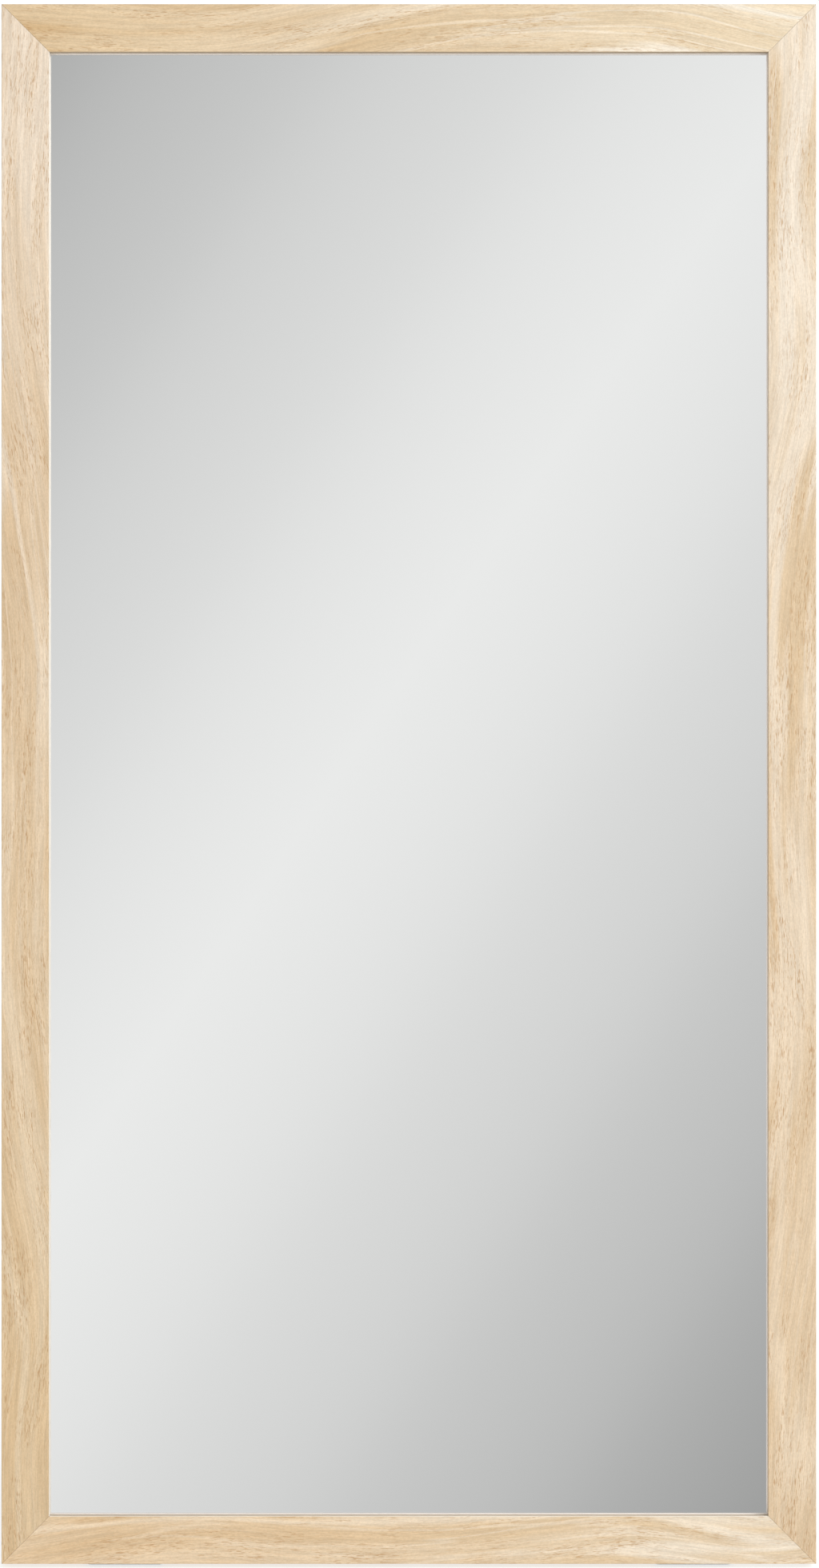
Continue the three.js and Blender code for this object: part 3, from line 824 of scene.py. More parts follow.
# Each member: which way its inner edge faces, its seed, grain drift, share of tan wood, how deep
# its lip is painted pale as a painted highlight, with painted shade deeper in, and a painted light
# ramp from end to end that makes it lighter and whiter towards the upper right, where the light
# falls.
MEMBERS = {
    "left_stile": {
        "turn": 0, "seed": 11, "slope": 0.05, "warmth": 0.5, "lip": 20 * MM,
        "painted_light_ramp": ((1.00, 0.93, 0.80), (1.06, 1.06, 1.09)),
    },
    "right_stile": {
        "turn": 180, "seed": 23, "slope": -0.03, "warmth": 0.45, "lip": 0.0,
        "painted_light_ramp": ((0.98, 0.93, 0.86), (1.00, 1.04, 1.11)),
    },
    "bottom_rail": {
        "turn": -90, "seed": 37, "slope": 0.04, "warmth": 0.5, "lip": 1.6 * MM,
        "painted_light_ramp": ((1.10, 1.04, 0.95), (1.12, 1.16, 1.21)),
    },
    "top_rail": {
        "turn": 90, "seed": 41, "slope": -0.02, "warmth": 0.5, "lip": -1.0 * MM,
        "painted_light_ramp": ((0.95, 0.86, 0.70), (1.09, 1.19, 1.32)),
    },
}


def frame_member(bm, length, timber):
    """A rebated moulding with mitred ends. X runs from its outer to its inner edge, Z along it."""
    depth = BACK_Y - FACE_Y
    behind = FACE_WIDTH - REBATE_WIDTH
    section = [
        (0, 0), (FACE_WIDTH, 0), (FACE_WIDTH, LIP_THICKNESS), (behind, LIP_THICKNESS),
        (behind, depth), (0, depth),
    ]
    ring = [bm.verts.new((x, y, -length)) for x, y in section]
    face = bm.faces.new(ring)
    end = pull(bm, [face])
    bmesh.ops.translate(bm, vec=(0, 0, 2 * length), verts=corners_of(end))
    bmesh.ops.recalc_face_normals(bm, faces=bm.faces[:])
    for up in (-1, 1):
        saw(bm, (0, 0, up * length / 2), (1, 0, up))
    bmesh.ops.recalc_face_normals(bm, faces=bm.faces[:])
    weight = bm.edges.layers.float.new("bevel_weight_edge")
    for edge in outer_edges(bm, math.radians(30)):
        run = edge.verts[0].co - edge.verts[1].co
        along_piece = abs(run.normalized().z) > 0.99
        edge[weight] = 1.0 if along_piece else timber.mitre_break / timber.arris


def ease_edges(piece, width, segments=2):
    """A weighted bevel, so that mitres stay tight while long edges are rounded."""
    bevel = piece.modifiers.new("eased edges", "BEVEL")
    bevel.width = width
    bevel.segments = segments
    bevel.limit_method = "WEIGHT"
    bevel.profile = 0.5


class MIRROR_OT_frame(bpy.types.Operator):
    """Build the four mitred members of the timber frame"""

    bl_idname = "floor_mirror.frame"
    bl_label = "Timber frame"

    def execute(self, context):
        timber = context.scene.mirror_timber
        centre = middle((FRAME_LOW, FRAME_HIGH))
        for name, member in MEMBERS.items():
            low, high = box_in(FRAME_AXES, name)
            upright = name.endswith("stile")
            bm = bmesh.new()
            length = high.z - low.z if upright else high.x - low.x
            frame_member(bm, length, timber)
            reach = (FRAME_HIGH.x - FRAME_LOW.x if upright else FRAME_HIGH.z - FRAME_LOW.z) / 2
            bmesh.ops.translate(bm, vec=(-reach, 0, 0), verts=bm.verts[:])
            turn = Matrix.Rotation(math.radians(member["turn"]), 4, "Y")
            origin = Matrix.Translation((centre.x, FACE_Y, centre.z))
            bmesh.ops.transform(bm, matrix=origin @ turn, verts=bm.verts[:])
            finish = timber_finish(
                "timber_" + name, timber, (FRAME_LEAN, 0.0 if upright else -math.pi / 2, 0.0),
                member["seed"], member["slope"], member["warmth"], member["painted_light_ramp"], member["lip"],
            )
            piece = finish_piece(
                bm, name + "_moulding", FRAME_AXES, finish, FRAME_BODY, "frame_timber", name,
            )
            ease_edges(piece, timber.arris)
        return {"FINISHED"}


# ---- Glass and the sheets behind it ---------------------------------------------------------


class MIRROR_OT_glass(bpy.types.Operator):
    """Build the silvered glass, the card and the backing board"""

    bl_idname = "floor_mirror.glass"
    bl_label = "Glass and backing"

    def execute(self, context):
        glass = context.scene.mirror_glass
        bm = bmesh.new()
        slab(bm, GLASS_LOW, GLASS_HIGH)
        round_off(bm, bm.edges[:], 0.4 * MM)
        for face in bm.faces:
            face.material_index = 0 if face.normal.y < -0.9 else 2 if face.normal.y > 0.9 else 1
        finishes = [silver_finish(glass), glass_edge_finish(glass), back_paint_finish(glass)]
        finish_piece(
            bm, "silvered_sheet", FRAME_AXES, finishes, FRAME_BODY, "silvered_glass",
            "mirror_glass",
        )
        for node, name, finish, slot in (
            ("card_sheet", "fluted_card", card_finish(glass), "corrugated_card"),
            ("backing_board", "hardboard_back", hardboard_finish(glass), "hardboard"),
        ):
            bm = bmesh.new()
            slab(bm, *box_in(FRAME_AXES, node))
            round_off(bm, bm.edges[:], 0.35 * MM)
            finish_piece(bm, name, FRAME_AXES, finish, FRAME_BODY, slot, node)
        return {"FINISHED"}


def framers_point(bm, place):
    """A thin flat blade, driven into the rebate's side along +X, with a lifted tail."""
    length, width, thickness = 15 * MM, 8 * MM, 0.35 * MM
    slab(bm, (0, 0, -width / 2), (length, thickness, width / 2))
    for cut in (0.16, 0.3, 0.62):
        saw(bm, (length * cut, 0, 0), (1, 0, 0), keep_all=True)
    for v in bm.verts:
        if v.co.x > length * 0.9:
            v.co.z *= 0.3
        if v.co.x < length * 0.1:
            v.co.y += 1.1 * MM
            v.co.z *= 0.86
        elif v.co.x < length * 0.2:
            v.co.y += 0.45 * MM
    bmesh.ops.transform(bm, matrix=place, verts=bm.verts[:])


class MIRROR_OT_points(bpy.types.Operator):
    """Build the framer's points that hold the backing board in"""

    bl_idname = "floor_mirror.points"
    bl_label = "Framer's points"

    def execute(self, context):
        hardware = context.scene.mirror_hardware
        zinc = made_once("zinc_plate", zinc_finish, hardware)
        wall = FACE_WIDTH - REBATE_WIDTH
        half_x = (FRAME_HIGH.x - FRAME_LOW.x) / 2 - wall
        half_z = (FRAME_HIGH.z - FRAME_LOW.z) / 2 - wall
        centre = middle((FRAME_LOW, FRAME_HIGH))
        count = hardware.point_count
        spots = []
        for turn, reach, run, number in (
            (0, half_x, half_z, count), (180, half_x, half_z, count),
            (90, half_z, half_x, max(2, count - 2)), (-90, half_z, half_x, max(2, count - 2)),
        ):
            for i in range(number):
                along = (2 * (i + 0.5) / number - 1) * (run - 30 * MM)
                spots.append((turn, reach, along))
        chance = random.Random(5)
        for i, (turn, reach, along) in enumerate(spots):
            bm = bmesh.new()
            skew = math.radians(turn + chance.uniform(-5, 5))
            place = (
                Matrix.Translation((centre.x, BOARD_BACK + 0.05 * MM, centre.z))
                @ Matrix.Rotation(math.radians(turn), 4, "Y")
                @ Matrix.Translation((reach - 10.5 * MM, 0, along + chance.uniform(-4, 4) * MM))
                @ Matrix.Rotation(skew - math.radians(turn), 4, "Y")
            )
            framers_point(bm, place)
            finish_piece(
                bm, f"framers_point_{i + 1}", FRAME_AXES, zinc, FRAME_BODY, "zinc_plate",
            )
        return {"FINISHED"}


# ---- Corner plates, brackets, straps and screws ------------------------------------------------


def screw_place(node):
    """The middle of a screw's head, in the frame's axes."""
    low, high = box_in(FRAME_AXES, node)
    return Vector(((low.x + high.x) / 2, high.y, (low.z + high.z) / 2))


def head_radius(node):
    low, high = box_in(FRAME_AXES, node)
    return (high.x - low.x) / 2


class MIRROR_OT_corner_plates(bpy.types.Operator):
    """Build the flat steel plates across the mitres"""

    bl_idname = "floor_mirror.corner_plates"
    bl_label = "Corner plates"

    def execute(self, context):
        hardware = context.scene.mirror_hardware
        zinc = made_once("zinc_plate", zinc_finish, hardware)
        for end in ENDS:
            for side in SIDES:
                node = f"corner_plate_{end}_{side}"
                low, high = box_in(FRAME_AXES, node)
                inward = -side_sign(side)
                upward = 1 if end == "bottom" else -1
                elbow = Vector((
                    low.x if inward > 0 else high.x, low.y, low.z if upward > 0 else high.z,
                ))
                screws = [screw_place(f"corner_screw_{end}_{side}_{i}") for i in range(1, 5)]
                holes = [
                    (inward * (s.x - elbow.x), upward * (s.z - elbow.z)) for s in screws
                ]
                arm = 2 * min(min(h) for h in holes)
                thickness = high.y - low.y
                bm = bmesh.new()
                pierced_plate(
                    bm, high.x - low.x, high.z - low.z, thickness, holes,
                    cuts=[(0, arm), (1, arm)], away=lambda c, a=arm: c.x > a and c.y > a,
                )
                rim = head_radius(f"corner_screw_{end}_{side}_1") + hardware.screw_gap
                for hole in holes:
                    countersink(bm, hole, thickness, rim, PLATE_SINK)
                trim_plate(bm, 3.0 * MM, hardware.edge_break, thickness)
                place = on_frame_back(elbow, inward, upward)
                bmesh.ops.transform(bm, matrix=place, verts=bm.verts[:])
                finish_piece(
                    bm, f"mending_plate_{end}_{side}", FRAME_AXES, zinc, FRAME_BODY,
                    "zinc_plate", node,
                )
        return {"FINISHED"}


def screw_mesh(bm, head, place, hardware, spin):
    """A countersunk wood screw with a cross recess, its head's face on Z = 0."""
    rings = [
        (circle(0.15 * MM), -14.0 * MM), (circle(1.25 * MM), -11.6 * MM),
        (circle(1.7 * MM), -10.8 * MM), (circle(1.7 * MM), -2.0 * MM),
        (circle(head), -0.28 * MM), (circle(head), -0.1 * MM),
        (circle(head - 0.15 * MM), 0.0), (cross(0.55 * MM, 2.05 * MM), -0.02 * MM),
        (cross(0.42 * MM, 1.5 * MM), -hardware.recess_depth),
    ]
    turn_part(bm, rings, place @ Matrix.Rotation(spin, 4, "Z"))


class MIRROR_OT_screws(bpy.types.Operator):
    """Build every countersunk screw in the frame's back"""

    bl_idname = "floor_mirror.screws"
    bl_label = "Screws"

    def execute(self, context):
        hardware = context.scene.mirror_hardware
        zinc = made_once("zinc_plate", zinc_finish, hardware)
        chance = random.Random(8)
        kinds = ("corner_screw", "bracket_screw", "hanger_screw")
        for node in sorted(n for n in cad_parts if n.startswith(kinds)):
            bm = bmesh.new()
            face = Matrix.Rotation(-math.pi / 2, 4, "X")
            place = Matrix.Translation(screw_place(node)) @ face
            screw_mesh(bm, head_radius(node), place, hardware, chance.uniform(0, math.pi / 2))
            piece = finish_piece(
                bm, node + "_turned", FRAME_AXES, zinc, FRAME_BODY, "zinc_plate", node,
            )
            smooth(piece)
        return {"FINISHED"}


class MIRROR_OT_floor_pads(bpy.types.Operator):
    """Build the clear pads that the bottom rail stands on"""

    bl_idname = "floor_mirror.floor_pads"
    bl_label = "Floor pads"

    def execute(self, context):
        clear = pad_finish(context.scene.mirror_hardware)
        for side in SIDES:
            node = f"floor_pad_{side}"
            bm = bmesh.new()
            slab(bm, *box_in(FRAME_AXES, node))
            standing = [e for e in outer_edges(bm) if runs_along(e, "z")]
            round_off(bm, standing, 5.0 * MM, segments=6)
            under = [e for f in facing(bm, (0, 0, -1)) for e in f.edges]
            round_off(bm, list(set(under)), 0.35 * MM)
            piece = finish_piece(
                bm, f"clear_pad_{side}", FRAME_AXES, clear, FRAME_BODY, "clear_rubber", node,
            )
            smooth(piece)
        return {"FINISHED"}


# ---- Axle brackets ----------------------------------------------------------------------------


def axle_of(side):
    """The middle of an axle, in the frame's axes."""
    return middle(box_in(FRAME_AXES, f"axle_nut_{side}"))


def axle_middle(side):
    """Halfway between a bracket's two ears."""
    return middle(box_in(FRAME_AXES, f"axle_bracket_{side}")).x


def bracket_mesh(bm, width, height, axle, ears, holes, rim, edge_break):
    """A base strip with two ears that rise to the axle. Drawn flat on XY, ears towards +Z."""
    gap, half_height, radius, thickness = ears
    middle_x, middle_y = width / 2, height / 2
    cuts = [(0, middle_x - gap / 2), (0, middle_x + gap / 2)]
    cuts += [(1, middle_y - half_height), (1, middle_y + half_height)]
    pierced_plate(bm, width, height, thickness, holes, cuts=cuts)
    for hole in holes:
        countersink(bm, hole, thickness, rim, PLATE_SINK)
    outline = [(axle - radius / 2, radius), (axle, radius)]
    outline += [
        (axle + radius * math.sin(math.radians(a)), radius * math.cos(math.radians(a)))
        for a in range(12, 85, 9)
    ]
    outline += [(axle + radius, radius * 0.04)]
    for sign in (-1, 1):
        ear = [
            f
            for f in facing(bm, (0, 0, 1))
            if sign * (f.calc_center_median().x - middle_x) > gap / 2
            and abs(f.calc_center_median().y - middle_y) < half_height
            and f.calc_center_median().z < thickness + MM
        ]
        width_now = half_height
        for rise, half in outline:
            ear = pull(bm, ear)
            for v in corners_of(ear):
                v.co.z = rise
                v.co.y = middle_y + (v.co.y - middle_y) * half / width_now
            width_now = half
    bmesh.ops.recalc_face_normals(bm, faces=bm.faces[:])
    corner = [
        e
        for e in outer_edges(bm)
        if runs_along(e, "z")
        and min(v.co.z for v in e.verts) < MM
        and abs(abs(e.verts[0].co.y - middle_y) - middle_y) < MM
    ]
    round_off(bm, corner, 1.8 * MM, segments=5)
    round_off(bm, outer_edges(bm, math.radians(60)), edge_break)


class MIRROR_OT_brackets(bpy.types.Operator):
    """Build the two folded steel brackets that carry the easel"""

    bl_idname = "floor_mirror.brackets"
    bl_label = "Axle brackets"

    def execute(self, context):
        hardware = context.scene.mirror_hardware
        black = made_once("black_steel", black_coat_finish, hardware)
        for side in SIDES:
            node = f"axle_bracket_{side}"
            low, high = box_in(FRAME_AXES, node)
            axle = axle_of(side)
            radius = high.y - axle.y
            thickness = PLATE_FACE - low.y
            ear = [p for p in points_in(FRAME_AXES, node) if p.y > PLATE_FACE + MM]
            inner = min(abs(p.x - axle_middle(side)) for p in ear)
            base = [p.z for p in points_in(FRAME_AXES, node) if p.y < PLATE_FACE + 0.1 * MM]
            stand = sorted({round(abs(z - axle.z), 5) for z in base})
            half_height = [z for z in stand if z > radius][0]
            holes = [
                (s.x - low.x, s.z - low.z)
                for s in (screw_place(f"bracket_screw_{side}_{i}") for i in range(1, 5))
            ]
            bm = bmesh.new()
            bracket_mesh(
                bm, high.x - low.x, high.z - low.z, axle.y - low.y,
                (2 * inner, half_height, radius, thickness), holes,
                head_radius(f"bracket_screw_{side}_1") + hardware.screw_gap, hardware.edge_break,
            )
            bmesh.ops.transform(bm, matrix=on_frame_back(low), verts=bm.verts[:])
            piece = finish_piece(
                bm, f"folded_bracket_{side}", FRAME_AXES, black, FRAME_BODY, "black_steel", node,
            )
            smooth(piece)
        return {"FINISHED"}


class MIRROR_OT_axles(bpy.types.Operator):
    """Build the axle bolts, their nuts and the nylon washers beside each leg"""

    bl_idname = "floor_mirror.axles"
    bl_label = "Axle bolts and nuts"

    def execute(self, context):
        hardware = context.scene.mirror_hardware
        zinc = made_once("zinc_plate", zinc_finish, hardware)
        nylon = made_once("nylon", nylon_finish, hardware)
        for side in SIDES:
            sign = side_sign(side)
            axle = axle_of(side)
            centre = Vector((axle_middle(side), axle.y, axle.z))
            outward = Matrix.Translation(centre) @ Matrix.Rotation(sign * math.pi / 2, 4, "Y")
            low, high = box_in(FRAME_AXES, f"axle_bolt_{side}")
            top = (high.x - centre.x) if sign > 0 else (centre.x - low.x)
            end = (centre.x - low.x) if sign > 0 else (high.x - centre.x)
            radius = (high.z - low.z) / 2
            under = top - 3.6 * MM
            rings = [(circle(2.4 * MM), -end), (circle(2.95 * MM), -end + 0.5 * MM)]
            for i in range(9):
                shrink = 0.0 if i % 2 else 0.28 * MM
                rings.append((circle(3.0 * MM - shrink), -end + (0.8 + 0.45 * i) * MM))
            rings += [
                (circle(3.0 * MM), under), (circle(radius), under),
                (circle(radius), under + 0.9 * MM), (circle(radius * 0.95), under + 2.0 * MM),
                (circle(radius * 0.82), under + 2.9 * MM), (circle(radius * 0.62), top),
                (hexagon(4.0 * MM), top - 0.02 * MM), (hexagon(3.9 * MM), top - 1.9 * MM),
            ]
            bm = bmesh.new()
            turn_part(bm, rings, outward)
            bolt = finish_piece(
                bm, f"axle_screw_{side}", FRAME_AXES, zinc, FRAME_BODY, "zinc_plate",
                f"axle_bolt_{side}",
            )
            smooth(bolt)
            self.add_nut(side, sign, centre, outward, zinc, nylon)
            self.add_washers(side, centre, nylon)
        return {"FINISHED"}

    def add_nut(self, side, sign, centre, outward, zinc, nylon):
        low, high = box_in(FRAME_AXES, f"axle_nut_{side}")
        thickness = high.x - low.x
        near = (centre.x - high.x) if sign > 0 else (low.x - centre.x)
        inward = outward @ Matrix.Rotation(math.pi, 4, "X") @ Matrix.Translation((0, 0, near))
        flats = 10.0 * MM
        body = [
            (circle(flats * 0.49), 0.0), (hexagon(flats), 0.6 * MM), (hexagon(flats), 3.3 * MM),
            (circle(flats * 0.48), 3.75 * MM), (circle(flats * 0.47), thickness - 0.5 * MM),
            (circle(flats * 0.43), thickness), (circle(flats * 0.36), thickness - 0.02 * MM),
            (circle(flats * 0.35), thickness - 0.4 * MM),
        ]
        bm = bmesh.new()
        turn_part(bm, body, inward)
        nut = finish_piece(
            bm, f"lock_nut_{side}", FRAME_AXES, zinc, FRAME_BODY, "zinc_plate",
            f"axle_nut_{side}",
        )
        smooth(nut)
        ring = [
            (circle(3.5 * MM), thickness - 0.6 * MM), (circle(3.5 * MM), thickness - 0.25 * MM),
            (circle(3.1 * MM), thickness - 0.1 * MM),
        ]
        bm = bmesh.new()
        turn_part(bm, ring, inward)
        insert = finish_piece(
            bm, f"nut_insert_{side}", FRAME_AXES, nylon, FRAME_BODY, "zinc_plate",
        )
        smooth(insert)

    def add_washers(self, side, centre, nylon):
        leg_low, leg_high = box_in(EASEL_AXES, f"easel_leg_{side}")
        half_leg = (leg_high.x - leg_low.x) / 2
        for label, toward in (("inner", -side_sign(side)), ("outer", side_sign(side))):
            place = Matrix.Translation(centre) @ Matrix.Rotation(toward * math.pi / 2, 4, "Y")
            rings = [
                (circle(6.7 * MM), half_leg + 0.08 * MM), (circle(7.0 * MM), half_leg + 0.2 * MM),
                (circle(7.0 * MM), half_leg + 0.58 * MM), (circle(6.7 * MM), half_leg + 0.7 * MM),
            ]
            bm = bmesh.new()
            turn_part(bm, rings, place)
            washer = finish_piece(
                bm, f"axle_washer_{side}_{label}", FRAME_AXES, nylon, FRAME_BODY, "zinc_plate",
            )
            smooth(washer)


# ---- Hangers ------------------------------------------------------------------------------------


def strap_mesh(bm, width, length, thickness, bar, holes, rim):
    """A strap drawn flat on XY, its top edge curled towards +Z round the ring's bar."""
    pierced_plate(bm, width, length, thickness, holes)
    for hole in holes:
        countersink(bm, hole, thickness, rim, STRAP_SINK)
    bm.normal_update()
    foot = [
        e
        for e in outer_edges(bm)
        if runs_along(e, "z") and max(v.co.y for v in e.verts) < MM
    ]
    round_off(bm, foot, 3.4 * MM, segments=6)
    end = facing(bm, (0, 1, 0))
    end_geometry = end + list({e for f in end for e in f.edges}) + corners_of(end)
    bmesh.ops.spin(
        bm, geom=end_geometry, cent=(0, length, bar), axis=(-1, 0, 0),
        angle=math.radians(-240), steps=20, use_merge=False, use_duplicate=False,
    )
    bmesh.ops.remove_doubles(bm, verts=bm.verts[:], dist=1e-6)


def ring_mesh(bm, half_width, wire, straight, corner):
    """A D of round wire: a bow below, a straight bar on the X axis above."""
    half = wire / 2
    run = half_width - half
    section = bmesh.ops.create_circle(bm, cap_ends=False, segments=14, radius=half)["verts"]
    bmesh.ops.translate(bm, vec=(run, 0, -straight), verts=section)
    loop = list({e for v in section for e in v.link_edges})

    def swing(edges, centre, degrees, steps):
        ends = list({v for e in edges for v in e.verts})
        made = bmesh.ops.spin(
            bm, geom=edges + ends, cent=centre, axis=(0, 1, 0), angle=math.radians(degrees),
            steps=steps, use_merge=False, use_duplicate=False,
        )["geom_last"]
        return [g for g in made if isinstance(g, bmesh.types.BMEdge)]

    def draw(edges, move):
        made = bmesh.ops.extrude_edge_only(bm, edges=edges)["geom"]
        new = [g for g in made if isinstance(g, bmesh.types.BMVert)]
        bmesh.ops.translate(bm, vec=move, verts=new)
        loops = [g for g in made if isinstance(g, bmesh.types.BMEdge)]
        return [e for e in loops if all(v in new for v in e.verts)]

    loop = swing(loop, (0, 0, -straight), 180, 28)
    loop = draw(loop, (0, 0, straight - corner))
    loop = swing(loop, (-run + corner, 0, -corner), 90, 8)
    loop = draw(loop, (2 * (run - corner), 0, 0))
    loop = swing(loop, (run - corner, 0, -corner), 90, 8)
    draw(loop, (0, 0, corner - straight))
    bmesh.ops.remove_doubles(bm, verts=bm.verts[:], dist=1e-5)


class MIRROR_OT_hangers(bpy.types.Operator):
    """Build the strap hangers and their D rings"""

    bl_idname = "floor_mirror.hangers"
    bl_label = "Hangers"

    def execute(self, context):
        hardware = context.scene.mirror_hardware
        zinc = made_once("zinc_plate", zinc_finish, hardware)
        for side in SIDES:
            ring_node = f"hanger_ring_{side}"
            strap_node = f"hanger_strap_{side}"
            ring_low, ring_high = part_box(ring_node)
            wire = ring_high.y - ring_low.y
            half_width = (ring_high.x - ring_low.x) / 2
            bar = middle((ring_low, ring_high))
            bar.z = ring_high.z - wire / 2
            straight = ring_high.z - wire / 2 - ring_low.z - half_width
            bm = bmesh.new()
            ring_mesh(bm, half_width, wire, straight, 2.4 * MM)
            bmesh.ops.translate(bm, vec=bar, verts=bm.verts[:])
            ring = finish_piece(
                bm, f"wire_ring_{side}", WORLD_AXES, zinc, f"ring_{side}", "zinc_plate",
                ring_node,
            )
            smooth(ring, 50)
            low, high = box_in(FRAME_AXES, strap_node)
            screws = [screw_place(f"hanger_screw_{side}_{i}") for i in (1, 2)]
            thickness = screws[0].y - low.y
            own_bar = FRAME_AXES.inverted() @ bar
            holes = [(s.x - low.x, s.z - low.z) for s in screws]
            bm = bmesh.new()
            strap_mesh(
                bm, high.x - low.x, own_bar.z - low.z, thickness, own_bar.y - low.y, holes,
                head_radius(f"hanger_screw_{side}_1") + hardware.screw_gap,
            )
            bmesh.ops.transform(bm, matrix=on_frame_back(low), verts=bm.verts[:])
            strap = finish_piece(
                bm, f"curled_strap_{side}", FRAME_AXES, zinc, FRAME_BODY, "zinc_plate",
                strap_node,
            )
            smooth(strap, 25)
        return {"FINISHED"}


# ---- Easel --------------------------------------------------------------------------------------


def level_in_easel(height):
    """A point and a normal, in the easel's axes, of the level plane this far above the floor."""
    to_own = EASEL_AXES.inverted()
    return to_own @ Vector((0, 0, height)), (to_own @ Vector((0, 0, 1))).normalized()


def leg_mesh(bm, side, arris):
    """A leg with a level foot, a rounded heel and a planed stop at its top."""
    low, high = box_in(EASEL_AXES, f"easel_leg_{side}")
    slab(bm, low, high)
    foot_low = min(p.z for p in points_in(WORLD_AXES, f"easel_leg_{side}"))
    point, normal = level_in_easel(foot_low)
    saw(bm, point, -normal)
    to_easel = EASEL_AXES.inverted() @ FRAME_AXES
    stop = to_easel @ Vector((0, PLATE_FACE + 0.3 * MM, 0))
    back_normal = (to_easel @ Vector((0, 1, 0))).normalized()
    saw(bm, stop, -back_normal)
    bmesh.ops.recalc_face_normals(bm, faces=bm.faces[:])
    heel = [
        e
        for e in outer_edges(bm)
        if all(v.co.z > high.z - 0.1 * MM and v.co.y > high.y - 0.1 * MM for v in e.verts)
    ]
    round_off(bm, heel, 6.0 * MM, segments=8)
    round_off(bm, outer_edges(bm, math.radians(35)), arris, segments=3)


TENON_THICKNESS = 8 * MM
TENON_WIDTH = 30 * MM


def crossbar_mesh(bm, node, inner_faces, arris):
    """A rail between the legs, with a tenon at each end."""
    low, high = box_in(EASEL_AXES, node)
    body_low = Vector((inner_faces[0], low.y, low.z))
    body_high = Vector((inner_faces[1], high.y, high.z))
    slab(bm, body_low, body_high)
    long_edges = [e for e in bm.edges if abs((e.verts[0].co - e.verts[1].co).x) > 0.1]
    round_off(bm, long_edges, arris, segments=3)
    centre = middle((body_low, body_high))
    tip = max(high.x - inner_faces[1], 0.0)
    for sign in (-1, 1):
        end = pull(bm, facing(bm, (sign, 0, 0)))
        thinner = TENON_THICKNESS / (high.y - low.y)
        narrower = TENON_WIDTH / (high.z - low.z)
        shrink = Matrix.Diagonal((1.0, thinner, narrower, 1.0))
        about = Matrix.Translation(centre) @ shrink @ Matrix.Translation(-centre)
        bmesh.ops.transform(bm, matrix=about, verts=corners_of(end))
        end = pull(bm, end)
        bmesh.ops.translate(bm, vec=(sign * tip, 0, 0), verts=corners_of(end))


class MIRROR_OT_easel(bpy.types.Operator):
    """Build the easel's legs and crossbars"""

    bl_idname = "floor_mirror.easel"
    bl_label = "Easel"

    def execute(self, context):
        timber = context.scene.mirror_timber
        upright = (EASEL_LEAN, 0.0, 0.0)
        level = (EASEL_LEAN, -math.pi / 2, 0.0)
        for side, seed in (("left", 53), ("right", 67)):
            bm = bmesh.new()
            leg_mesh(bm, side, timber.leg_arris)
            finish = timber_finish(f"timber_leg_{side}", timber, upright, seed, 0.02, 0.62)
            leg = finish_piece(
                bm, f"planed_leg_{side}", EASEL_AXES, finish, EASEL_BODY, "easel_timber",
                f"easel_leg_{side}",
            )
            smooth(leg, 25)
        inner = [
            box_in(EASEL_AXES, "easel_leg_left")[1].x + 0.3 * MM,
            box_in(EASEL_AXES, "easel_leg_right")[0].x - 0.3 * MM,
        ]
        for node, seed in (("lower_crossbar", 71), ("upper_crossbar", 89)):
            bm = bmesh.new()
            crossbar_mesh(bm, node, inner, timber.leg_arris)
            finish = timber_finish(f"timber_{node}", timber, level, seed, -0.02, 0.6)
            bar = finish_piece(
                bm, f"tenoned_{node}", EASEL_AXES, finish, EASEL_BODY, "easel_timber", node,
            )
            smooth(bar, 25)
        return {"FINISHED"}


class MIRROR_OT_leg_feet(bpy.types.Operator):
    """Build the rubber soles under the legs"""

    bl_idname = "floor_mirror.leg_feet"
    bl_label = "Leg feet"

    def execute(self, context):
        rubber = sole_finish(context.scene.mirror_hardware)
        for side in SIDES:
            node = f"leg_foot_{side}"
            low, high = box_in(EASEL_AXES, node)
            leg_foot = min(p.z for p in points_in(WORLD_AXES, f"easel_leg_{side}"))
            thickness = leg_foot - 0.3 * MM
            bm = bmesh.new()
            slab(bm, low - Vector((0, 0, 10 * MM)), high)
            for height, up in ((0.0, -1), (thickness, 1)):
                point, normal = level_in_easel(height)
                saw(bm, point, normal * up)
            bmesh.ops.recalc_face_normals(bm, faces=bm.faces[:])
            round_off(bm, outer_edges(bm), 1.1 * MM, segments=3)
            leg = middle(box_in(EASEL_AXES, f"easel_leg_{side}"))
            place = Matrix.Translation((middle((low, high)).x, leg.y, 0))
            stem = [
                (circle(3.7 * MM), low.z + 4 * MM), (circle(4.0 * MM), low.z + 5 * MM),
                (circle(4.0 * MM), high.z - MM), (circle(3.2 * MM), high.z),
            ]
            turn_part(bm, stem, place, sides=16)
            foot = finish_piece(
                bm, f"rubber_sole_{side}", EASEL_AXES, rubber, EASEL_BODY, "black_rubber", node,
            )
            smooth(foot)
        return {"FINISHED"}


# ---- Stage --------------------------------------------------------------------------------------


# The sweep of light: how fast it darkens to either side of a slanted bright band.
SWEEP_SPAN = 6000.0
SWEEP_RIGHT = 4117.0 / SWEEP_SPAN
SWEEP_UP = 2778.0 / SWEEP_SPAN
SWEEP_OFFSET = 79.8 / SWEEP_SPAN
SWEEP_GREYS = [
    (0.0, 235.0), (250 / SWEEP_SPAN, 222.9), (500 / SWEEP_SPAN, 205.5), (750 / SWEEP_SPAN, 182.9),
    (1000 / SWEEP_SPAN, 155.0), (1400 / SWEEP_SPAN, 132.0), (2600 / SWEEP_SPAN, 168.0),
    (1.0, 214.0),
]

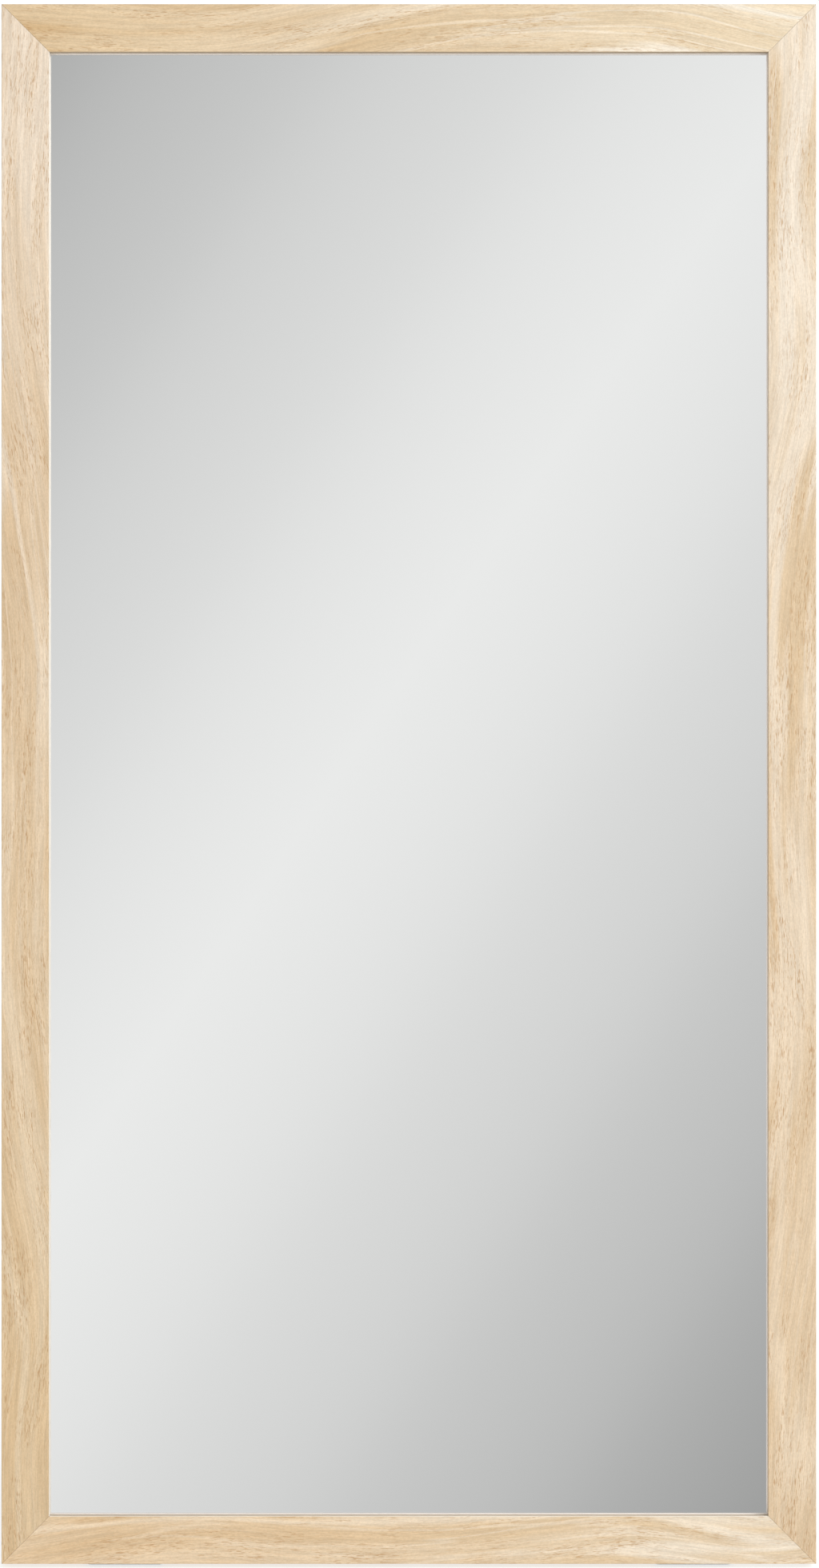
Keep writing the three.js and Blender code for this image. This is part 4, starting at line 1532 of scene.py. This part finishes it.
FLOOR_REACH = 30.0  # metres from the middle of the floor to each of its sides


def studio_surroundings(stage):
    """A white room. What shines sees a soft grey sweep of light behind the camera instead."""
    world = bpy.data.worlds.new("white_studio")
    room = Nodes(world)

    # Directions in the frame's own axes, so that the sweep lies square to the glass.
    sky = room.put("TexCoord", {}, "Generated")
    turned = {"Vector": sky, "Rotation": (FRAME_LEAN, 0, 0)}
    aside, forward, above = room.parts(room.put("Mapping", turned, vector_type="POINT"))
    ahead = room.reckon("MAXIMUM", room.reckon("ABSOLUTE", forward), 0.08)
    right = room.reckon("DIVIDE", aside, ahead)
    up = room.reckon("DIVIDE", above, ahead)
    slant = room.reckon("MULTIPLY_ADD", right, SWEEP_RIGHT, SWEEP_OFFSET)
    slant = room.reckon("MULTIPLY_ADD", up, -SWEEP_UP, slant)
    ramp = room.put("ValToRGB", {"Fac": room.reckon("ABSOLUTE", slant)}).node
    ramp.color_ramp.interpolation = "CARDINAL"
    while len(ramp.color_ramp.elements) < len(SWEEP_GREYS):
        ramp.color_ramp.elements.new(1.0)
    for element, (at, grey) in zip(ramp.color_ramp.elements, SWEEP_GREYS):
        element.position = at
        element.color = rgba(linear(grey, grey, grey))

    # Soft light comes more from the right and from above than from the left and below.
    east, _, zenith = room.parts(sky)
    lean = room.reckon("MULTIPLY_ADD", east, 0.24, 1.0)
    lean = room.reckon("MULTIPLY_ADD", zenith, 0.1, lean)
    strength = room.reckon("MULTIPLY", lean, stage.ambient)
    white = (1.0, 1.0, 1.0, 1.0)
    lit = room.put("Background", {"Color": white, "Strength": strength})
    seen = room.put("Background", {"Color": white, "Strength": 1.05})
    mirrored = room.put("Background", {"Color": ramp.outputs["Color"], "Strength": 1.03})
    path = room.put("LightPath", {}).node
    soft = room.put("MixShader", {0: path.outputs["Is Glossy Ray"], 1: lit, 2: mirrored})
    whole = room.put("MixShader", {0: path.outputs["Is Camera Ray"], 1: soft, 2: seen})
    room.links.new(whole, room.nodes.new("ShaderNodeOutputWorld").inputs["Surface"])
    return world


class MIRROR_OT_stage(bpy.types.Operator):
    """Set the floor, the lights and the camera"""

    bl_idname = "floor_mirror.stage"
    bl_label = "Stage"

    def execute(self, context):
        stage = context.scene.mirror_stage
        scene = context.scene
        scene.world = studio_surroundings(stage)
        scene.view_settings.view_transform = "Standard"
        bm = bmesh.new()
        bmesh.ops.create_grid(bm, x_segments=4, y_segments=4, size=FLOOR_REACH)
        mesh = bpy.data.meshes.new("studio_floor")
        bm.to_mesh(mesh)
        bm.free()
        mesh.materials.append(floor_finish(stage))
        ground = bpy.data.objects.new("studio_floor", mesh)
        scene.collection.objects.link(ground)
        ground.visible_glossy = False
        self.add_light(scene, "key_softbox", (1.8, 1.8), stage.key_power, (2.3, -2.9, 3.1))
        self.add_light(scene, "side_strip", (0.8, 2.0), stage.strip_power, (2.95, -1.35, 2.4))
        self.add_camera(scene, stage)
        return {"FINISHED"}

    def add_light(self, scene, name, size, power, spot):
        """A soft light of this width and height, aimed at the middle of the frame."""
        lamp = bpy.data.lights.new(name, "AREA")
        lamp.shape = "RECTANGLE"
        lamp.size, lamp.size_y = size
        lamp.energy = power
        light = bpy.data.objects.new(name, lamp)
        scene.collection.objects.link(light)
        light.location = spot
        aim = Vector((0.0, 0.0, 0.85)) - light.location
        light.rotation_euler = aim.to_track_quat("-Z", "Y").to_euler()

    def add_camera(self, scene, stage):
        centre = middle((FRAME_LOW, FRAME_HIGH))
        height = FRAME_HIGH.z - FRAME_LOW.z
        lens = bpy.data.cameras.new("square_on")
        lens.sensor_width = 36.0
        lens.lens = lens.sensor_width * stage.distance / (height * (1 + stage.margin))
        lens.shift_x = 0.0004
        camera = bpy.data.objects.new("square_on", lens)
        spot = Vector((centre.x, FACE_Y - stage.distance, centre.z))
        camera.matrix_world = (
            FRAME_AXES @ Matrix.Translation(spot) @ Matrix.Rotation(math.pi / 2, 4, "X")
        )
        scene.collection.objects.link(camera)
        scene.camera = camera


# ---- Panel and registration -----------------------------------------------------------------------

SETTINGS = (
    ("mirror_timber", MirrorTimberSettings),
    ("mirror_glass", MirrorGlassSettings),
    ("mirror_hardware", MirrorHardwareSettings),
    ("mirror_stage", MirrorStageSettings),
)
OPERATORS = (
    MIRROR_OT_frame,
    MIRROR_OT_glass,
    MIRROR_OT_points,
    MIRROR_OT_corner_plates,
    MIRROR_OT_screws,
    MIRROR_OT_floor_pads,
    MIRROR_OT_brackets,
    MIRROR_OT_axles,
    MIRROR_OT_hangers,
    MIRROR_OT_easel,
    MIRROR_OT_leg_feet,
    MIRROR_OT_stage,
)


class MIRROR_PT_sidebar(bpy.types.Panel):
    """Lists the mirror's settings and build steps"""

    bl_label = "Floor mirror"
    bl_idname = "MIRROR_PT_sidebar"
    bl_space_type = "VIEW_3D"
    bl_region_type = "UI"
    bl_category = "Mirror"

    def draw(self, context):
        for attribute, group in SETTINGS:
            box = self.layout.box()
            settings = getattr(context.scene, attribute)
            for setting in group.__annotations__:
                box.prop(settings, setting)
        for operator in OPERATORS:
            self.layout.operator(operator.bl_idname)


def register():
    for attribute, group in SETTINGS:
        bpy.utils.register_class(group)
        setattr(bpy.types.Scene, attribute, PointerProperty(type=group))
    for made in (*OPERATORS, MIRROR_PT_sidebar):
        bpy.utils.register_class(made)


def unregister():
    for made in reversed((*OPERATORS, MIRROR_PT_sidebar)):
        bpy.utils.unregister_class(made)
    for attribute, group in reversed(SETTINGS):
        delattr(bpy.types.Scene, attribute)
        bpy.utils.unregister_class(group)


def main():
    """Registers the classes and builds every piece."""
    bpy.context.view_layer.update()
    register()
    bpy.ops.floor_mirror.frame()
    bpy.ops.floor_mirror.glass()
    bpy.ops.floor_mirror.points()
    bpy.ops.floor_mirror.corner_plates()
    bpy.ops.floor_mirror.screws()
    bpy.ops.floor_mirror.floor_pads()
    bpy.ops.floor_mirror.brackets()
    bpy.ops.floor_mirror.axles()
    bpy.ops.floor_mirror.hangers()
    bpy.ops.floor_mirror.easel()
    bpy.ops.floor_mirror.leg_feet()
    bpy.ops.floor_mirror.stage()


if __name__ == "__main__":
    main()
